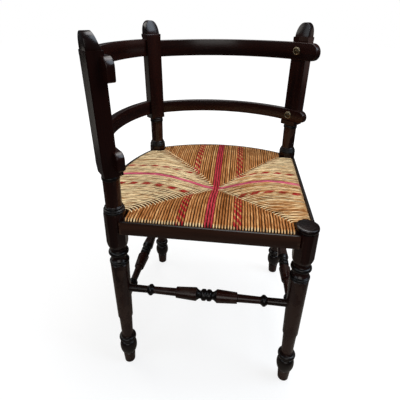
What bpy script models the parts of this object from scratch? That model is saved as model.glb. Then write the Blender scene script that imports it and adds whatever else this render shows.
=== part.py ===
"""Corner fireside chair: four turned legs on a diagonal square, a rush seat and two bowed back rails a side.

Metres, +Z up, the floor at z = 0. The origin is on the floor at the middle of the seat.
The sitter faces -Y: the front leg is at -Y, the back post at +Y, the side posts at -X and +X.
"""

import math

import bmesh
import bpy
from mathutils import Matrix, Vector

# Fits
CLEARANCE = 0.0003

# Plan
LEG_SPACING = 0.382
SEAT_BOW = 0.042

# Turned leg, each length measured up from the one before it
FOOT_LENGTH = 0.034
FOOT_TIP_RADIUS = 0.0126
FOOT_TOP_RADIUS = 0.0146
BALL_LENGTH = 0.0375
BALL_RADIUS = 0.0202
ANKLE_NECK_LENGTH = 0.005
ANKLE_NECK_RADIUS = 0.0125
ANKLE_RING_LENGTH = 0.014
ANKLE_RING_RADIUS = 0.0200
LOWER_SHAFT_LENGTH = 0.0625
LOWER_SHAFT_FOOT_RADIUS = 0.0129
LOWER_SHAFT_TOP_RADIUS = 0.0150
SHAFT_LENGTH = 0.1505
SHAFT_FOOT_RADIUS = 0.0170
SHAFT_TOP_RADIUS = 0.0200
COLLAR_LENGTH = 0.014
COLLAR_RADIUS = 0.0212
NECK_LENGTH = 0.011
NECK_RADIUS = 0.0155
TORUS_LENGTH = 0.014
TORUS_RADIUS = 0.0210
UPPER_NECK_LENGTH = 0.008
UPPER_NECK_RADIUS = 0.0166
BLOCK_TAPER_LENGTH = 0.019
BLOCK_LENGTH = 0.058
BLOCK_HALF_WIDTH = 0.0208

# Front leg's top
DISC_LENGTH = 0.011
DISC_RADIUS = 0.0228

# Posts above the seat
SEAT_RING_LENGTH = 0.0125
SEAT_RING_RADIUS = 0.0230
STEM_RING_LENGTH = 0.012
STEM_RING_RADIUS = 0.0186
STEM_LENGTH = 0.0590
STEM_FOOT_RADIUS = 0.0163
STEM_TOP_RADIUS = 0.0168
POST_RING_LENGTH = 0.008
POST_RING_RADIUS = 0.0180
POST_COLLAR_LENGTH = 0.004
POST_COLLAR_RADIUS = 0.0173
SIDE_POST_FOOT_INSIDE = 0.0190
SIDE_POST_CUT_LENGTH = 0.018
SIDE_POST_CUT_DEPTH = 0.0015
POST_LENGTH = 0.2255
POST_WIDTH = 0.042
POST_DEPTH = 0.030
POST_SET_BACK = 0.0045
POST_LEAN = math.radians(1.6)
POST_EASE = 0.001
POST_CHAMFER = 0.0025
POST_CHAMFER_STOP = 0.008
FINIAL_LENGTH = 0.030
FINIAL_STRAIGHT = 0.004
FINIAL_SHOULDER = 0.0025
FINIAL_INNER_SLOPE = 0.010

# Back rails
RAIL_THICKNESS = 0.016
RAIL_ROUND = 0.0015
RAIL_BEND_RADIUS = 0.318
RAIL_BEHIND_BACK_AXIS = 0.004
RAIL_INSIDE_SIDE_AXIS = 0.0145
RAIL_TENON = 0.010
UPPER_RAIL_HEIGHT = 0.042
UPPER_RAIL_BELOW_SHOULDER_LEFT = 0.0075
UPPER_RAIL_BELOW_SHOULDER_RIGHT = 0.012
UPPER_RAIL_OVERHANG_LEFT = 0.019
UPPER_RAIL_OVERHANG_RIGHT = 0.039
UPPER_RAIL_BACK_DROP = 0.005
LOWER_RAIL_HEIGHT_LEFT = 0.036
LOWER_RAIL_HEIGHT_RIGHT = 0.031
LOWER_RAIL_ABOVE_POST_FOOT_LEFT = 0.014
LOWER_RAIL_ABOVE_POST_FOOT_RIGHT = 0.0115
LOWER_RAIL_OVERHANG_LEFT = 0.017
LOWER_RAIL_OVERHANG_RIGHT = 0.028
LOWER_RAIL_BACK_DROP = 0.001

# Rounding of the rails' free ends at the top and at the foot, as shares of their height
RAIL_TIP_ROUND_LEFT = (0.40, 0.10)
RAIL_TIP_ROUND_RIGHT = (0.52, 0.46)

# Brass cups and screws that hold the rails to the side posts
CUP_RADIUS = 0.0105
CUP_HOLE_RADIUS = 0.0052
CUP_HEIGHT = 0.0034
SCREW_HEAD_RADIUS = 0.0047
SCREW_HEAD_FOOT = 0.0007
SCREW_HEAD_EDGE = 0.0008
SCREW_HEAD_HEIGHT = 0.0030
SCREW_SHANK_RADIUS = 0.0020
SCREW_LENGTH = 0.028

# Section of a cup's rim, as shares of the rim's width and height
CUP_OUTLINE = ((0.0, 0.0), (1.0, 0.0), (0.9, 0.55), (0.56, 1.0), (0.32, 0.9), (0.0, 0.5))

# Seat
FACING_THICKNESS = 0.006
FACING_HEIGHT = 0.030
FACING_EASE = 0.0015
FACING_BELOW_BLOCK_TOP = 0.002
SEAT_RAIL_WIDTH = 0.016
SEAT_RAIL_HEIGHT = 0.021
SEAT_RAIL_ROUND = 0.005
SEAT_RAIL_BELOW_BLOCK_TOP = 0.0025
SEAT_RAIL_TENON = 0.006
RUSH_WRAP = 0.0045
RUSH_CENTRE_SAG = 0.027
RUSH_CENTRE_THICKNESS = 0.020
RUSH_PILLOW = 0.008
RUSH_ROLL = 0.0036

# Where the rush changes shape, as shares of the way from the middle of the seat to its rim
RUSH_PILLOW_FOOT_SHARE = 0.3
RUSH_UNDERSIDE_FLAT_SHARE = 0.85
RUSH_CREST_SHARE = 0.9
RUSH_ROLL_START_SHARE = 0.94

# Stretchers
HIGH_STRETCHER_HEIGHT = 0.2375
LOW_STRETCHER_HEIGHT = 0.1895
STRETCHER_TENON = 0.011
STRETCHER_ROD_RADIUS = 0.0080
STRETCHER_RING_LENGTH = 0.014
STRETCHER_RING_RADIUS = 0.0126
STRETCHER_INNER_ROD_LENGTH = 0.0505
STRETCHER_INNER_ROD_RADIUS = 0.0088
STRETCHER_SLEEVE_LENGTH = 0.0455
STRETCHER_SLEEVE_OUTER_RADIUS = 0.0122
STRETCHER_SLEEVE_INNER_RADIUS = 0.0147
STRETCHER_CONE_LENGTH = 0.0095
STRETCHER_NECK_RADIUS = 0.0084
STRETCHER_BEAD_LENGTH = 0.0115
STRETCHER_BEAD_RADIUS = 0.0129
STRETCHER_BEAD_GAP = 0.002

# Fineness of the facets
LEG_QUARTER_STEPS = 4
STRETCHER_SIDES = 10
CUP_SIDES = 16
SCREW_SIDES = 10
SCREW_HEAD_STEPS = 4
BEAD_STEPS = 3
FINIAL_STEPS = 6
RAIL_STEPS = 16
RAIL_TIP_STEPS = (0.0, 0.3, 0.55, 0.75, 0.9, 0.985)
FACING_STEPS = 14
RUSH_STEPS_ALONG = 12
RUSH_STEPS_OUT = (0.0, 0.2, 0.4, 0.6, 0.76, 0.88, 0.95, 1.0)

# Heights and places that follow from the sizes above
LEG_SIDES = 4 * LEG_QUARTER_STEPS
HALF_SPACING = LEG_SPACING / 2
LEG_DISTANCE = LEG_SPACING / math.sqrt(2)
BLOCK_FOOT_Z = (FOOT_LENGTH + BALL_LENGTH + ANKLE_NECK_LENGTH + ANKLE_RING_LENGTH + LOWER_SHAFT_LENGTH
                + SHAFT_LENGTH + COLLAR_LENGTH + NECK_LENGTH + TORUS_LENGTH + UPPER_NECK_LENGTH)
BLOCK_TOP_Z = BLOCK_FOOT_Z + BLOCK_TAPER_LENGTH + BLOCK_LENGTH
POST_RING_Z = BLOCK_TOP_Z + SEAT_RING_LENGTH + STEM_RING_LENGTH + STEM_LENGTH
POST_RING_TOP_Z = POST_RING_Z + POST_RING_LENGTH
POST_FOOT_Z = POST_RING_TOP_Z + POST_COLLAR_LENGTH
SIDE_POST_TOP_OF_CUT_Z = POST_FOOT_Z + SIDE_POST_CUT_LENGTH
SHOULDER_Z = POST_FOOT_Z + POST_LENGTH
UPPER_RAIL_LEFT_Z = SHOULDER_Z - UPPER_RAIL_BELOW_SHOULDER_LEFT - UPPER_RAIL_HEIGHT / 2
UPPER_RAIL_RIGHT_Z = SHOULDER_Z - UPPER_RAIL_BELOW_SHOULDER_RIGHT - UPPER_RAIL_HEIGHT / 2
LOWER_RAIL_LEFT_Z = POST_FOOT_Z + LOWER_RAIL_ABOVE_POST_FOOT_LEFT + LOWER_RAIL_HEIGHT_LEFT / 2
LOWER_RAIL_RIGHT_Z = POST_FOOT_Z + LOWER_RAIL_ABOVE_POST_FOOT_RIGHT + LOWER_RAIL_HEIGHT_RIGHT / 2
FACING_TOP_Z = BLOCK_TOP_Z - FACING_BELOW_BLOCK_TOP
SEAT_RAIL_Z = BLOCK_TOP_Z - SEAT_RAIL_BELOW_BLOCK_TOP - SEAT_RAIL_HEIGHT / 2
RUSH_OUTSIDE = FACING_THICKNESS + CLEARANCE
RUSH_RIM_Z = SEAT_RAIL_Z + SEAT_RAIL_HEIGHT / 2 + RUSH_WRAP
SEAT_RAIL_INSIDE = RUSH_OUTSIDE + RUSH_WRAP + SEAT_RAIL_WIDTH / 2

LEGS = {
    "right": Vector((LEG_DISTANCE, 0.0)),
    "back": Vector((0.0, LEG_DISTANCE)),
    "left": Vector((-LEG_DISTANCE, 0.0)),
    "front": Vector((0.0, -LEG_DISTANCE)),
}
OUTWARD_ANGLE = {"right": 0.0, "back": math.pi / 2, "left": math.pi, "front": -math.pi / 2}
SIDES = {
    "front_left": ("left", "front"),
    "front_right": ("front", "right"),
    "back_right": ("right", "back"),
    "back_left": ("back", "left"),
}
STRETCHER_Z = {
    "front_left": HIGH_STRETCHER_HEIGHT,
    "front_right": LOW_STRETCHER_HEIGHT,
    "back_right": HIGH_STRETCHER_HEIGHT,
    "back_left": LOW_STRETCHER_HEIGHT,
}

# Finishes as colour, roughness and metallic
DARK_WOOD = ((0.030, 0.012, 0.009, 1.0), 0.28, 0.0)
RUSH = ((0.56, 0.36, 0.14, 1.0), 0.62, 0.0)
BRASS = ((0.42, 0.27, 0.10, 1.0), 0.38, 1.0)


def clear_scene():
    for old in list(bpy.data.objects):
        bpy.data.objects.remove(old, do_unlink=True)


def add_object(name, shape, finish):
    """Turn a finished bmesh into a named object with its own material."""
    bmesh.ops.recalc_face_normals(shape, faces=shape.faces)
    mesh = bpy.data.meshes.new(name)
    shape.to_mesh(mesh)
    shape.free()
    mesh.shade_smooth()
    mesh.set_sharp_from_angle(angle=math.radians(40))
    piece = bpy.data.objects.new(name, mesh)
    bpy.context.scene.collection.objects.link(piece)
    colour, roughness, metallic = finish
    material = bpy.data.materials.new(name + "_finish")
    material.use_nodes = True
    shader = material.node_tree.nodes["Principled BSDF"]
    shader.inputs["Base Color"].default_value = colour
    shader.inputs["Roughness"].default_value = roughness
    shader.inputs["Metallic"].default_value = metallic
    mesh.materials.append(material)
    return piece


def add_cutter(name, shape):
    """A shape that only cuts other pieces."""
    cutter = add_object(name, shape, DARK_WOOD)
    cutter.hide_render = True
    cutter.display_type = "WIRE"
    return cutter


def cut(piece, cutter):
    boolean = piece.modifiers.new(cutter.name, "BOOLEAN")
    boolean.operation = "DIFFERENCE"
    boolean.solver = "EXACT"
    boolean.object = cutter


def loft(rings):
    """Closed skin over rings that all have the same number of points."""
    shape = bmesh.new()
    loops = [[shape.verts.new(point) for point in ring] for ring in rings]
    count = len(loops[0])
    for lower, upper in zip(loops, loops[1:]):
        for i in range(count):
            j = (i + 1) % count
            shape.faces.new((lower[i], lower[j], upper[j], upper[i]))
    shape.faces.new(loops[0])
    shape.faces.new(loops[-1])
    return shape


def circle(radius, sides):
    return [(radius * math.cos(math.tau * i / sides), radius * math.sin(math.tau * i / sides))
            for i in range(sides)]


def octagon(half_width):
    """Section of an eight-sided bar, one flat facing along +X."""
    flat = math.pi / 4
    outline = []
    for i in range(LEG_SIDES):
        angle = math.tau * i / LEG_SIDES
        radius = half_width / math.cos((angle + flat / 2) % flat - flat / 2)
        outline.append((radius * math.cos(angle), radius * math.sin(angle)))
    return outline


def rectangle(half_depth, half_width, chamfer, turn):
    """A bar's section: a point in the middle of each side and the others along the corners' chamfers."""
    x, y = half_depth, half_width
    corner_steps = LEG_QUARTER_STEPS - 2
    quarter = [(x, 0.0)]
    for i in range(corner_steps + 1):
        taken = chamfer * i / corner_steps
        quarter.append((x - taken, y - chamfer + taken))
    quarter.append((0.0, y))
    half = quarter + [(-across, along) for across, along in reversed(quarter[1:-1])]
    outline = half + [(-across, -along) for across, along in half]
    cosine, sine = math.cos(turn), math.sin(turn)
    return [(across * cosine - along * sine, across * sine + along * cosine) for across, along in outline]


class Turning:
    """Radii up a turned piece, laid down one length after another."""

    def __init__(self):
        self.stations = []
        self.height = 0.0

    def cone(self, length, start, end):
        self.stations += [(self.height, start), (self.height + length, end)]
        self.height += length

    def bead(self, length, neck, radius):
        """A round swelling that starts and ends at the neck."""
        for i in range(2 * BEAD_STEPS + 1):
            angle = math.pi * i / (2 * BEAD_STEPS)
            reach = length * (1 - math.cos(angle)) / 2
            self.stations.append((self.height + reach, neck + (radius - neck) * math.sin(angle)))
        self.height += length

    def radius_at(self, height):
        for (low, start), (high, end) in zip(self.stations, self.stations[1:]):
            if low <= height <= high and high > low:
                return start + (end - start) * (height - low) / (high - low)
        return self.stations[-1][1]

    def clean(self):
        """The stations without one that repeats the one before it."""
        kept = self.stations[:1]
        for station in self.stations[1:]:
            if abs(station[0] - kept[-1][0]) > 1e-6 or abs(station[1] - kept[-1][1]) > 1e-6:
                kept.append(station)
        return kept


def turned_leg():
    leg = Turning()
    leg.cone(FOOT_LENGTH, FOOT_TIP_RADIUS, FOOT_TOP_RADIUS)
    leg.bead(BALL_LENGTH, ANKLE_NECK_RADIUS, BALL_RADIUS)
    leg.cone(ANKLE_NECK_LENGTH, ANKLE_NECK_RADIUS, ANKLE_NECK_RADIUS)
    leg.bead(ANKLE_RING_LENGTH, LOWER_SHAFT_FOOT_RADIUS, ANKLE_RING_RADIUS)
    leg.cone(LOWER_SHAFT_LENGTH, LOWER_SHAFT_FOOT_RADIUS, LOWER_SHAFT_TOP_RADIUS)
    leg.cone(SHAFT_LENGTH, SHAFT_FOOT_RADIUS, SHAFT_TOP_RADIUS)
    leg.bead(COLLAR_LENGTH, NECK_RADIUS, COLLAR_RADIUS)
    leg.cone(NECK_LENGTH, NECK_RADIUS, NECK_RADIUS)
    leg.bead(TORUS_LENGTH, UPPER_NECK_RADIUS, TORUS_RADIUS)
    leg.cone(UPPER_NECK_LENGTH, UPPER_NECK_RADIUS, UPPER_NECK_RADIUS)
    return leg


def turned_stem():
    stem = Turning()
    stem.bead(SEAT_RING_LENGTH, STEM_FOOT_RADIUS, SEAT_RING_RADIUS)
    stem.bead(STEM_RING_LENGTH, STEM_FOOT_RADIUS, STEM_RING_RADIUS)
    stem.cone(STEM_LENGTH, STEM_FOOT_RADIUS, STEM_TOP_RADIUS)
    stem.bead(POST_RING_LENGTH, STEM_TOP_RADIUS, POST_RING_RADIUS)
    stem.cone(POST_COLLAR_LENGTH, POST_COLLAR_RADIUS, POST_COLLAR_RADIUS)
    return stem


def lean_at(height):
    """How far out a post's square part stands at a height: it is set back from the stem and leans."""
    return POST_SET_BACK + (height - POST_FOOT_Z) * math.tan(POST_LEAN)


def leg_rings():
    """Rings of a leg from the floor to the top of the eight-sided block."""
    rings = [[(x, y, z) for x, y in circle(radius, LEG_SIDES)] for z, radius in turned_leg().clean()]
    for z in (BLOCK_FOOT_Z + BLOCK_TAPER_LENGTH, BLOCK_TOP_Z):
        rings.append([(x, y, z) for x, y in octagon(BLOCK_HALF_WIDTH)])
    return rings


def bar_section(inner, outer, half_width, turn):
    """An eased bar's section between its inner and its outer face."""
    middle = (outer + inner) / 2
    shift_x, shift_y = middle * math.cos(turn), middle * math.sin(turn)
    half_depth = (outer - inner) / 2
    return [(x + shift_x, y + shift_y) for x, y in rectangle(half_depth, half_width, POST_EASE, turn)]


def finial_section(climb, half_width, turn):
    """A finial's section at a height above its shoulder; the inner face slopes outwards as it climbs."""
    inner = FINIAL_SHOULDER + FINIAL_INNER_SLOPE * climb / FINIAL_LENGTH - POST_DEPTH / 2
    return bar_section(inner, POST_DEPTH / 2 - POST_EASE, half_width, turn)


def side_foot_sections(ledge, turn):
    """A side post's foot: thicker up to the ledge for the lower rail, its outer face cut back downwards."""
    slope = SIDE_POST_CUT_DEPTH / SIDE_POST_CUT_LENGTH
    thick = [(z, -SIDE_POST_FOOT_INSIDE - lean_at(z)) for z in (POST_FOOT_Z, ledge)]
    faces = thick + [(ledge, -POST_DEPTH / 2)]
    sections = []
    for z, inner in faces:
        outer = POST_DEPTH / 2 - (SIDE_POST_TOP_OF_CUT_Z - z) * slope
        sections.append((z, bar_section(inner, outer, POST_WIDTH / 2, turn)))
    return sections


def post_rings(turn, ledge=None):
    """Rings of a post from the block to its finial, +X outwards; a side post has a ledge for a rail."""
    profile = turned_stem().clean()
    stem = [[(x, y, BLOCK_TOP_Z + z) for x, y in circle(radius, LEG_SIDES)] for z, radius in profile]
    sections = side_foot_sections(ledge, turn) if ledge else []
    foot = SIDE_POST_TOP_OF_CUT_Z if ledge else POST_FOOT_Z
    half_depth, half_width = POST_DEPTH / 2, POST_WIDTH / 2
    chamfer_foot = foot + POST_CHAMFER_STOP
    chamfer_top = SHOULDER_Z - POST_CHAMFER_STOP
    corners = [
        (foot, POST_EASE),
        (chamfer_foot, POST_EASE),
        (chamfer_foot + POST_CHAMFER, POST_CHAMFER),
        (chamfer_top - POST_CHAMFER, POST_CHAMFER),
        (chamfer_top, POST_EASE),
        (SHOULDER_Z, POST_EASE),
    ]
    for z, chamfer in corners:
        sections.append((z, rectangle(half_depth, half_width, chamfer, turn)))
    arch = half_width - FINIAL_SHOULDER
    rise = FINIAL_LENGTH - FINIAL_STRAIGHT
    sections.append((SHOULDER_Z, finial_section(0.0, arch, turn)))
    for i in range(FINIAL_STEPS):
        angle = math.pi / 2 * i / FINIAL_STEPS
        climb = FINIAL_STRAIGHT + rise * math.sin(angle)
        sections.append((SHOULDER_Z + climb, finial_section(climb, arch * math.cos(angle), turn)))
    tip = arch * math.cos(math.pi / 2 * (FINIAL_STEPS - 0.5) / FINIAL_STEPS)
    sections.append((SHOULDER_Z + FINIAL_LENGTH, finial_section(FINIAL_LENGTH, tip, turn)))
    return stem + [[(x + lean_at(z), y, z) for x, y in section] for z, section in sections]


def disc_rings():
    disc = Turning()
    disc.bead(DISC_LENGTH, BLOCK_HALF_WIDTH, DISC_RADIUS)
    return [[(x, y, BLOCK_TOP_Z + z) for x, y in circle(radius, LEG_SIDES)] for z, radius in disc.clean()]


def add_leg(name, corner, upper_rings):
    piece = add_object(name, loft(leg_rings() + upper_rings), DARK_WOOD)
    piece.location = (*LEGS[corner], 0.0)
    piece.rotation_euler.z = OUTWARD_ANGLE[corner]
    return piece


def block_cutter(corner):
    """An eight-sided prism that keeps the rush clear of a leg."""
    half_width = max(BLOCK_HALF_WIDTH, SEAT_RING_RADIUS, DISC_RADIUS) + CLEARANCE
    rings = [[(x, y, z) for x, y in octagon(half_width)] for z in (BLOCK_FOOT_Z, POST_RING_Z)]
    cutter = add_cutter("clear_of_" + corner + "_leg", loft(rings))
    cutter.location = (*LEGS[corner], 0.0)
    return cutter


class Side:
    """One side of the seat: s runs along it from its middle, and out is away from the seat."""

    def __init__(self, name):
        start, end = (LEGS[corner] for corner in SIDES[name])
        self.middle = (start + end) / 2
        self.along = (end - start).normalized()
        self.outward = self.middle.normalized()
        self.bowed = name.startswith("back")
        half_chord = HALF_SPACING - BLOCK_HALF_WIDTH
        self.radius = (half_chord ** 2 + SEAT_BOW ** 2) / (2 * SEAT_BOW)

    def out_at(self, s, inside):
        """Distance out from the line of leg axes of the facing's outer face, moved inside."""
        if self.bowed:
            swell = math.sqrt((self.radius - inside) ** 2 - s * s) - (self.radius - SEAT_BOW)
            return BLOCK_HALF_WIDTH + swell
        return BLOCK_HALF_WIDTH - inside

    def slope_at(self, s, inside):
        return math.asin(s / (self.radius - inside)) if self.bowed else 0.0

    def point(self, s, out):
        return self.middle + self.along * s + self.outward * out

    def end_of(self, inside, half_thickness):
        """How far along a strip may run before its square end meets a leg's block."""
        reach = BLOCK_HALF_WIDTH + CLEARANCE
        s = HALF_SPACING - reach
        for _ in range(20):
            spread = half_thickness / math.cos(self.slope_at(s, inside))
            low = self.out_at(s, inside) - spread
            high = self.out_at(s, inside) + spread
            nearest = max(0.0, low, -high)
            s = HALF_SPACING - min(reach, reach * math.sqrt(2) - nearest)
        return s


def strip(side, inside, half_s, section, steps):
    """A bar along a side, its section given as (out, z) about its middle line."""
    rings = []
    for i in range(steps + 1):
        s = half_s * (2 * i / steps - 1)
        stretch = 1 / math.cos(side.slope_at(s, inside))
        out = side.out_at(s, inside)
        rings.append([(*side.point(s, out + across * stretch), z) for across, z in section])
    return loft(rings)


def eased_bar(width, height, ease, z):
    """Section of a bar with its four edges taken off."""
    x, y = width / 2, height / 2
    return [(x, z - y + ease), (x, z + y - ease), (x - ease, z + y), (ease - x, z + y),
            (-x, z + y - ease), (-x, z - y + ease), (ease - x, z - y), (x - ease, z - y)]


def facing(name):
    """A thin board whose square ends stop at the slanted flats of the leg blocks."""
    side = Side(name)
    inside = FACING_THICKNESS / 2
    half_s = side.end_of(inside, FACING_THICKNESS / 2)
    section = eased_bar(FACING_THICKNESS, FACING_HEIGHT, FACING_EASE, FACING_TOP_Z - FACING_HEIGHT / 2)
    return strip(side, inside, half_s, section, FACING_STEPS if side.bowed else 1)


def seat_rail(name, grow):
    side = Side(name)
    section = eased_bar(SEAT_RAIL_WIDTH + 2 * grow, SEAT_RAIL_HEIGHT + 2 * grow, SEAT_RAIL_ROUND, SEAT_RAIL_Z)
    half_s = HALF_SPACING - BLOCK_HALF_WIDTH + SEAT_RAIL_TENON + grow
    return strip(side, SEAT_RAIL_INSIDE, half_s, section, FACING_STEPS if side.bowed else 1)


class BackRail:
    """A bowed rail from the back post's side to past the inner face of a side post; mirrored for the left."""

    def __init__(self, mirror, height, z, back_drop, overhang, tip_round):
        self.mirror = mirror
        self.height = height
        self.z = z
        self.back_drop = back_drop
        self.tip_top_round, self.tip_foot_round = (height * share for share in tip_round)
        axis = LEG_DISTANCE + lean_at(z)
        at_back = Vector((0.0, axis + RAIL_BEHIND_BACK_AXIS))
        at_side = Vector((axis - RAIL_INSIDE_SIDE_AXIS, 0.0))
        middle = (at_back + at_side) / 2
        chord = at_side - at_back
        outward = Vector((-chord.y, chord.x)).normalized()
        self.centre = middle - outward * math.sqrt(RAIL_BEND_RADIUS ** 2 - (chord.length / 2) ** 2)
        self.turn = math.atan2(-self.centre.y, at_side.x - self.centre.x)
        tenon_x = POST_WIDTH / 2 - RAIL_TENON
        self.back_angle = math.acos((tenon_x - self.centre.x) / RAIL_BEND_RADIUS)
        tip_y = -(POST_WIDTH / 2 + overhang)
        self.tip_angle = math.asin((tip_y - self.centre.y) / RAIL_BEND_RADIUS)

    def point(self, angle, inside=0.0):
        radius = RAIL_BEND_RADIUS - inside
        return self.centre + Vector((math.cos(angle), math.sin(angle))) * radius

    def z_at(self, angle):
        """Height of the rail's middle, which drops from the side post to the back post."""
        return self.z - self.back_drop * max(0.0, (angle - self.turn) / (self.back_angle - self.turn))

    def foot_z(self):
        """Height of the rail's underside where it crosses the side post."""
        return self.z - self.height / 2

    def shape(self, grow):
        """The rail, or with grow the room that it needs."""
        start = self.back_angle + grow / RAIL_BEND_RADIUS
        end = self.tip_angle - grow / RAIL_BEND_RADIUS
        round_start = end + self.tip_top_round / RAIL_BEND_RADIUS
        angles = [start + (round_start - start) * i / RAIL_STEPS for i in range(RAIL_STEPS)]
        angles += [round_start + (end - round_start) * step for step in RAIL_TIP_STEPS]
        rings = []
        for angle in angles:
            top, foot = self.edges_at((angle - end) * RAIL_BEND_RADIUS)
            height = top - foot + 2 * grow
            middle = self.z_at(angle) + (top + foot) / 2
            section = eased_bar(RAIL_THICKNESS + 2 * grow, height, min(RAIL_ROUND, height / 3), middle)
            rings.append([(self.mirror * self.point(angle, -across).x, self.point(angle, -across).y, z)
                          for across, z in section])
        return loft(rings)

    def edges_at(self, distance):
        """Top and bottom edges about the rail's middle line, at a distance from its free end."""
        top_left = self.tip_top_round - min(distance, self.tip_top_round)
        foot_left = self.tip_foot_round - min(distance, self.tip_foot_round)
        top = self.height / 2 - self.tip_top_round + math.sqrt(self.tip_top_round ** 2 - top_left ** 2)
        foot = self.height / 2 - self.tip_foot_round + math.sqrt(self.tip_foot_round ** 2 - foot_left ** 2)
        return top, -foot

    def cup_frame(self):
        """Place and inward direction of the cup on the rail's inner face, over the post's middle."""
        stand_off = CLEARANCE + CUP_RADIUS ** 2 / (2 * RAIL_BEND_RADIUS) + self.step_sagitta()
        place = self.point(self.turn, RAIL_THICKNESS / 2 + stand_off)
        heading = math.atan2(math.sin(self.turn), self.mirror * math.cos(self.turn))
        return Vector((self.mirror * place.x, place.y, self.z)), heading

    def step_sagitta(self):
        """How far a flat facet of the rail stands inside its true arc."""
        step = (self.back_angle - self.tip_angle) / RAIL_STEPS
        return RAIL_BEND_RADIUS * (1 - math.cos(step / 2))


def lathe(stations, sides):
    """Turned solid from closed (height, radius) stations."""
    return loft([[(x, y, z) for x, y in circle(radius, sides)] for z, radius in stations])


def cup_shape():
    """A pressed cup: a ring with a rounded rim and a sunk seat for the screw head."""
    shape = bmesh.new()
    rim_width = CUP_RADIUS - CUP_HOLE_RADIUS
    corners = [shape.verts.new((CUP_HOLE_RADIUS + out * rim_width, 0.0, up * CUP_HEIGHT))
               for out, up in CUP_OUTLINE]
    edges = [shape.edges.new((corners[i], corners[(i + 1) % len(corners)])) for i in range(len(corners))]
    bmesh.ops.spin(shape, geom=corners + edges, cent=(0, 0, 0), axis=(0, 0, 1), angle=math.tau,
                   steps=CUP_SIDES, use_merge=True)
    bmesh.ops.remove_doubles(shape, verts=shape.verts, dist=1e-6)
    return shape


def screw_shape(grow):
    """A domed head in the cup and a shank that runs through the rail into the post."""
    shank = SCREW_SHANK_RADIUS + grow
    stations = [(-SCREW_LENGTH - grow, shank), (SCREW_HEAD_FOOT, shank)]
    if grow:
        return lathe(stations, SCREW_SIDES)
    stations.append((SCREW_HEAD_FOOT, SCREW_HEAD_RADIUS))
    dome = SCREW_HEAD_HEIGHT - SCREW_HEAD_EDGE
    for i in range(SCREW_HEAD_STEPS):
        angle = math.pi / 2 * i / SCREW_HEAD_STEPS
        z = SCREW_HEAD_FOOT + SCREW_HEAD_EDGE + dome * math.sin(angle)
        stations.append((z, SCREW_HEAD_RADIUS * math.cos(angle)))
    return lathe(stations, SCREW_SIDES)


def stretcher_turning():
    """Half of a stretcher from its tenon to its middle, then the same again mirrored."""
    leg_radius = turned_leg()
    half = {}
    fixed = (STRETCHER_RING_LENGTH + STRETCHER_INNER_ROD_LENGTH + STRETCHER_SLEEVE_LENGTH
             + STRETCHER_CONE_LENGTH + STRETCHER_BEAD_LENGTH + STRETCHER_BEAD_GAP / 2)
    for z in (HIGH_STRETCHER_HEIGHT, LOW_STRETCHER_HEIGHT):
        length = HALF_SPACING - leg_radius.radius_at(z) + STRETCHER_TENON
        rod = Turning()
        rod.cone(length - fixed, STRETCHER_ROD_RADIUS, STRETCHER_ROD_RADIUS)
        rod.bead(STRETCHER_RING_LENGTH, STRETCHER_ROD_RADIUS, STRETCHER_RING_RADIUS)
        rod.cone(STRETCHER_INNER_ROD_LENGTH, STRETCHER_ROD_RADIUS, STRETCHER_INNER_ROD_RADIUS)
        rod.cone(STRETCHER_SLEEVE_LENGTH, STRETCHER_SLEEVE_OUTER_RADIUS, STRETCHER_SLEEVE_INNER_RADIUS)
        rod.cone(STRETCHER_CONE_LENGTH, STRETCHER_SLEEVE_INNER_RADIUS, STRETCHER_NECK_RADIUS)
        rod.bead(STRETCHER_BEAD_LENGTH, STRETCHER_NECK_RADIUS, STRETCHER_BEAD_RADIUS)
        rod.cone(STRETCHER_BEAD_GAP / 2, STRETCHER_NECK_RADIUS, STRETCHER_NECK_RADIUS)
        first = [(distance - length, radius) for distance, radius in rod.clean()]
        half[z] = first + [(-distance, radius) for distance, radius in reversed(first[:-1])]
    return half


def place_along(piece, side, z):
    """Lay a piece that was turned about Z along the middle of a side."""
    middle = (LEGS[SIDES[side][0]] + LEGS[SIDES[side][1]]) / 2
    along = (LEGS[SIDES[side][1]] - LEGS[SIDES[side][0]]).to_3d()
    piece.location = (*middle, z)
    piece.rotation_euler = along.to_track_quat("Z", "Y").to_euler()


def rush_roll(u):
    """How far the rush has rolled over the rail's edge."""
    return RUSH_ROLL * max(0.0, (u - RUSH_ROLL_START_SHARE) / (1 - RUSH_ROLL_START_SHARE)) ** 2


def rush_height(u, t):
    """Top of the rush: sunk in the middle, pillowed over each panel, rolled over the rail."""
    climb = min(u / RUSH_CREST_SHARE, 1.0)
    sink = RUSH_CENTRE_SAG * (1 - math.sin(climb * math.pi / 2))
    pillow = RUSH_PILLOW * (1 - t * t) * math.sin(math.pi * climb) * min(u / RUSH_PILLOW_FOOT_SHARE, 1.0)
    return RUSH_RIM_Z - sink + pillow - rush_roll(u)


def rush_depth(u):
    """Underside of the rush, below the rail at the edge and sagging in the middle."""
    edge = SEAT_RAIL_Z - SEAT_RAIL_HEIGHT / 2 - RUSH_WRAP
    centre = RUSH_RIM_Z - RUSH_CENTRE_SAG - RUSH_CENTRE_THICKNESS
    flat = math.sin(min(u / RUSH_UNDERSIDE_FLAT_SHARE, 1.0) * math.pi / 2)
    return centre + (edge - centre) * flat + rush_roll(u)


def rush_rim():
    """Points of the rush's outer edge once round the seat, with how far each is across its panel."""
    rim = []
    for name in SIDES:
        side = Side(name)
        half_s = HALF_SPACING - BLOCK_HALF_WIDTH / 2
        for i in range(RUSH_STEPS_ALONG + 1):
            t = 2 * i / RUSH_STEPS_ALONG - 1
            s = half_s * t
            rim.append((side.point(s, side.out_at(s, RUSH_OUTSIDE)), t))
    return rim


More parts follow.
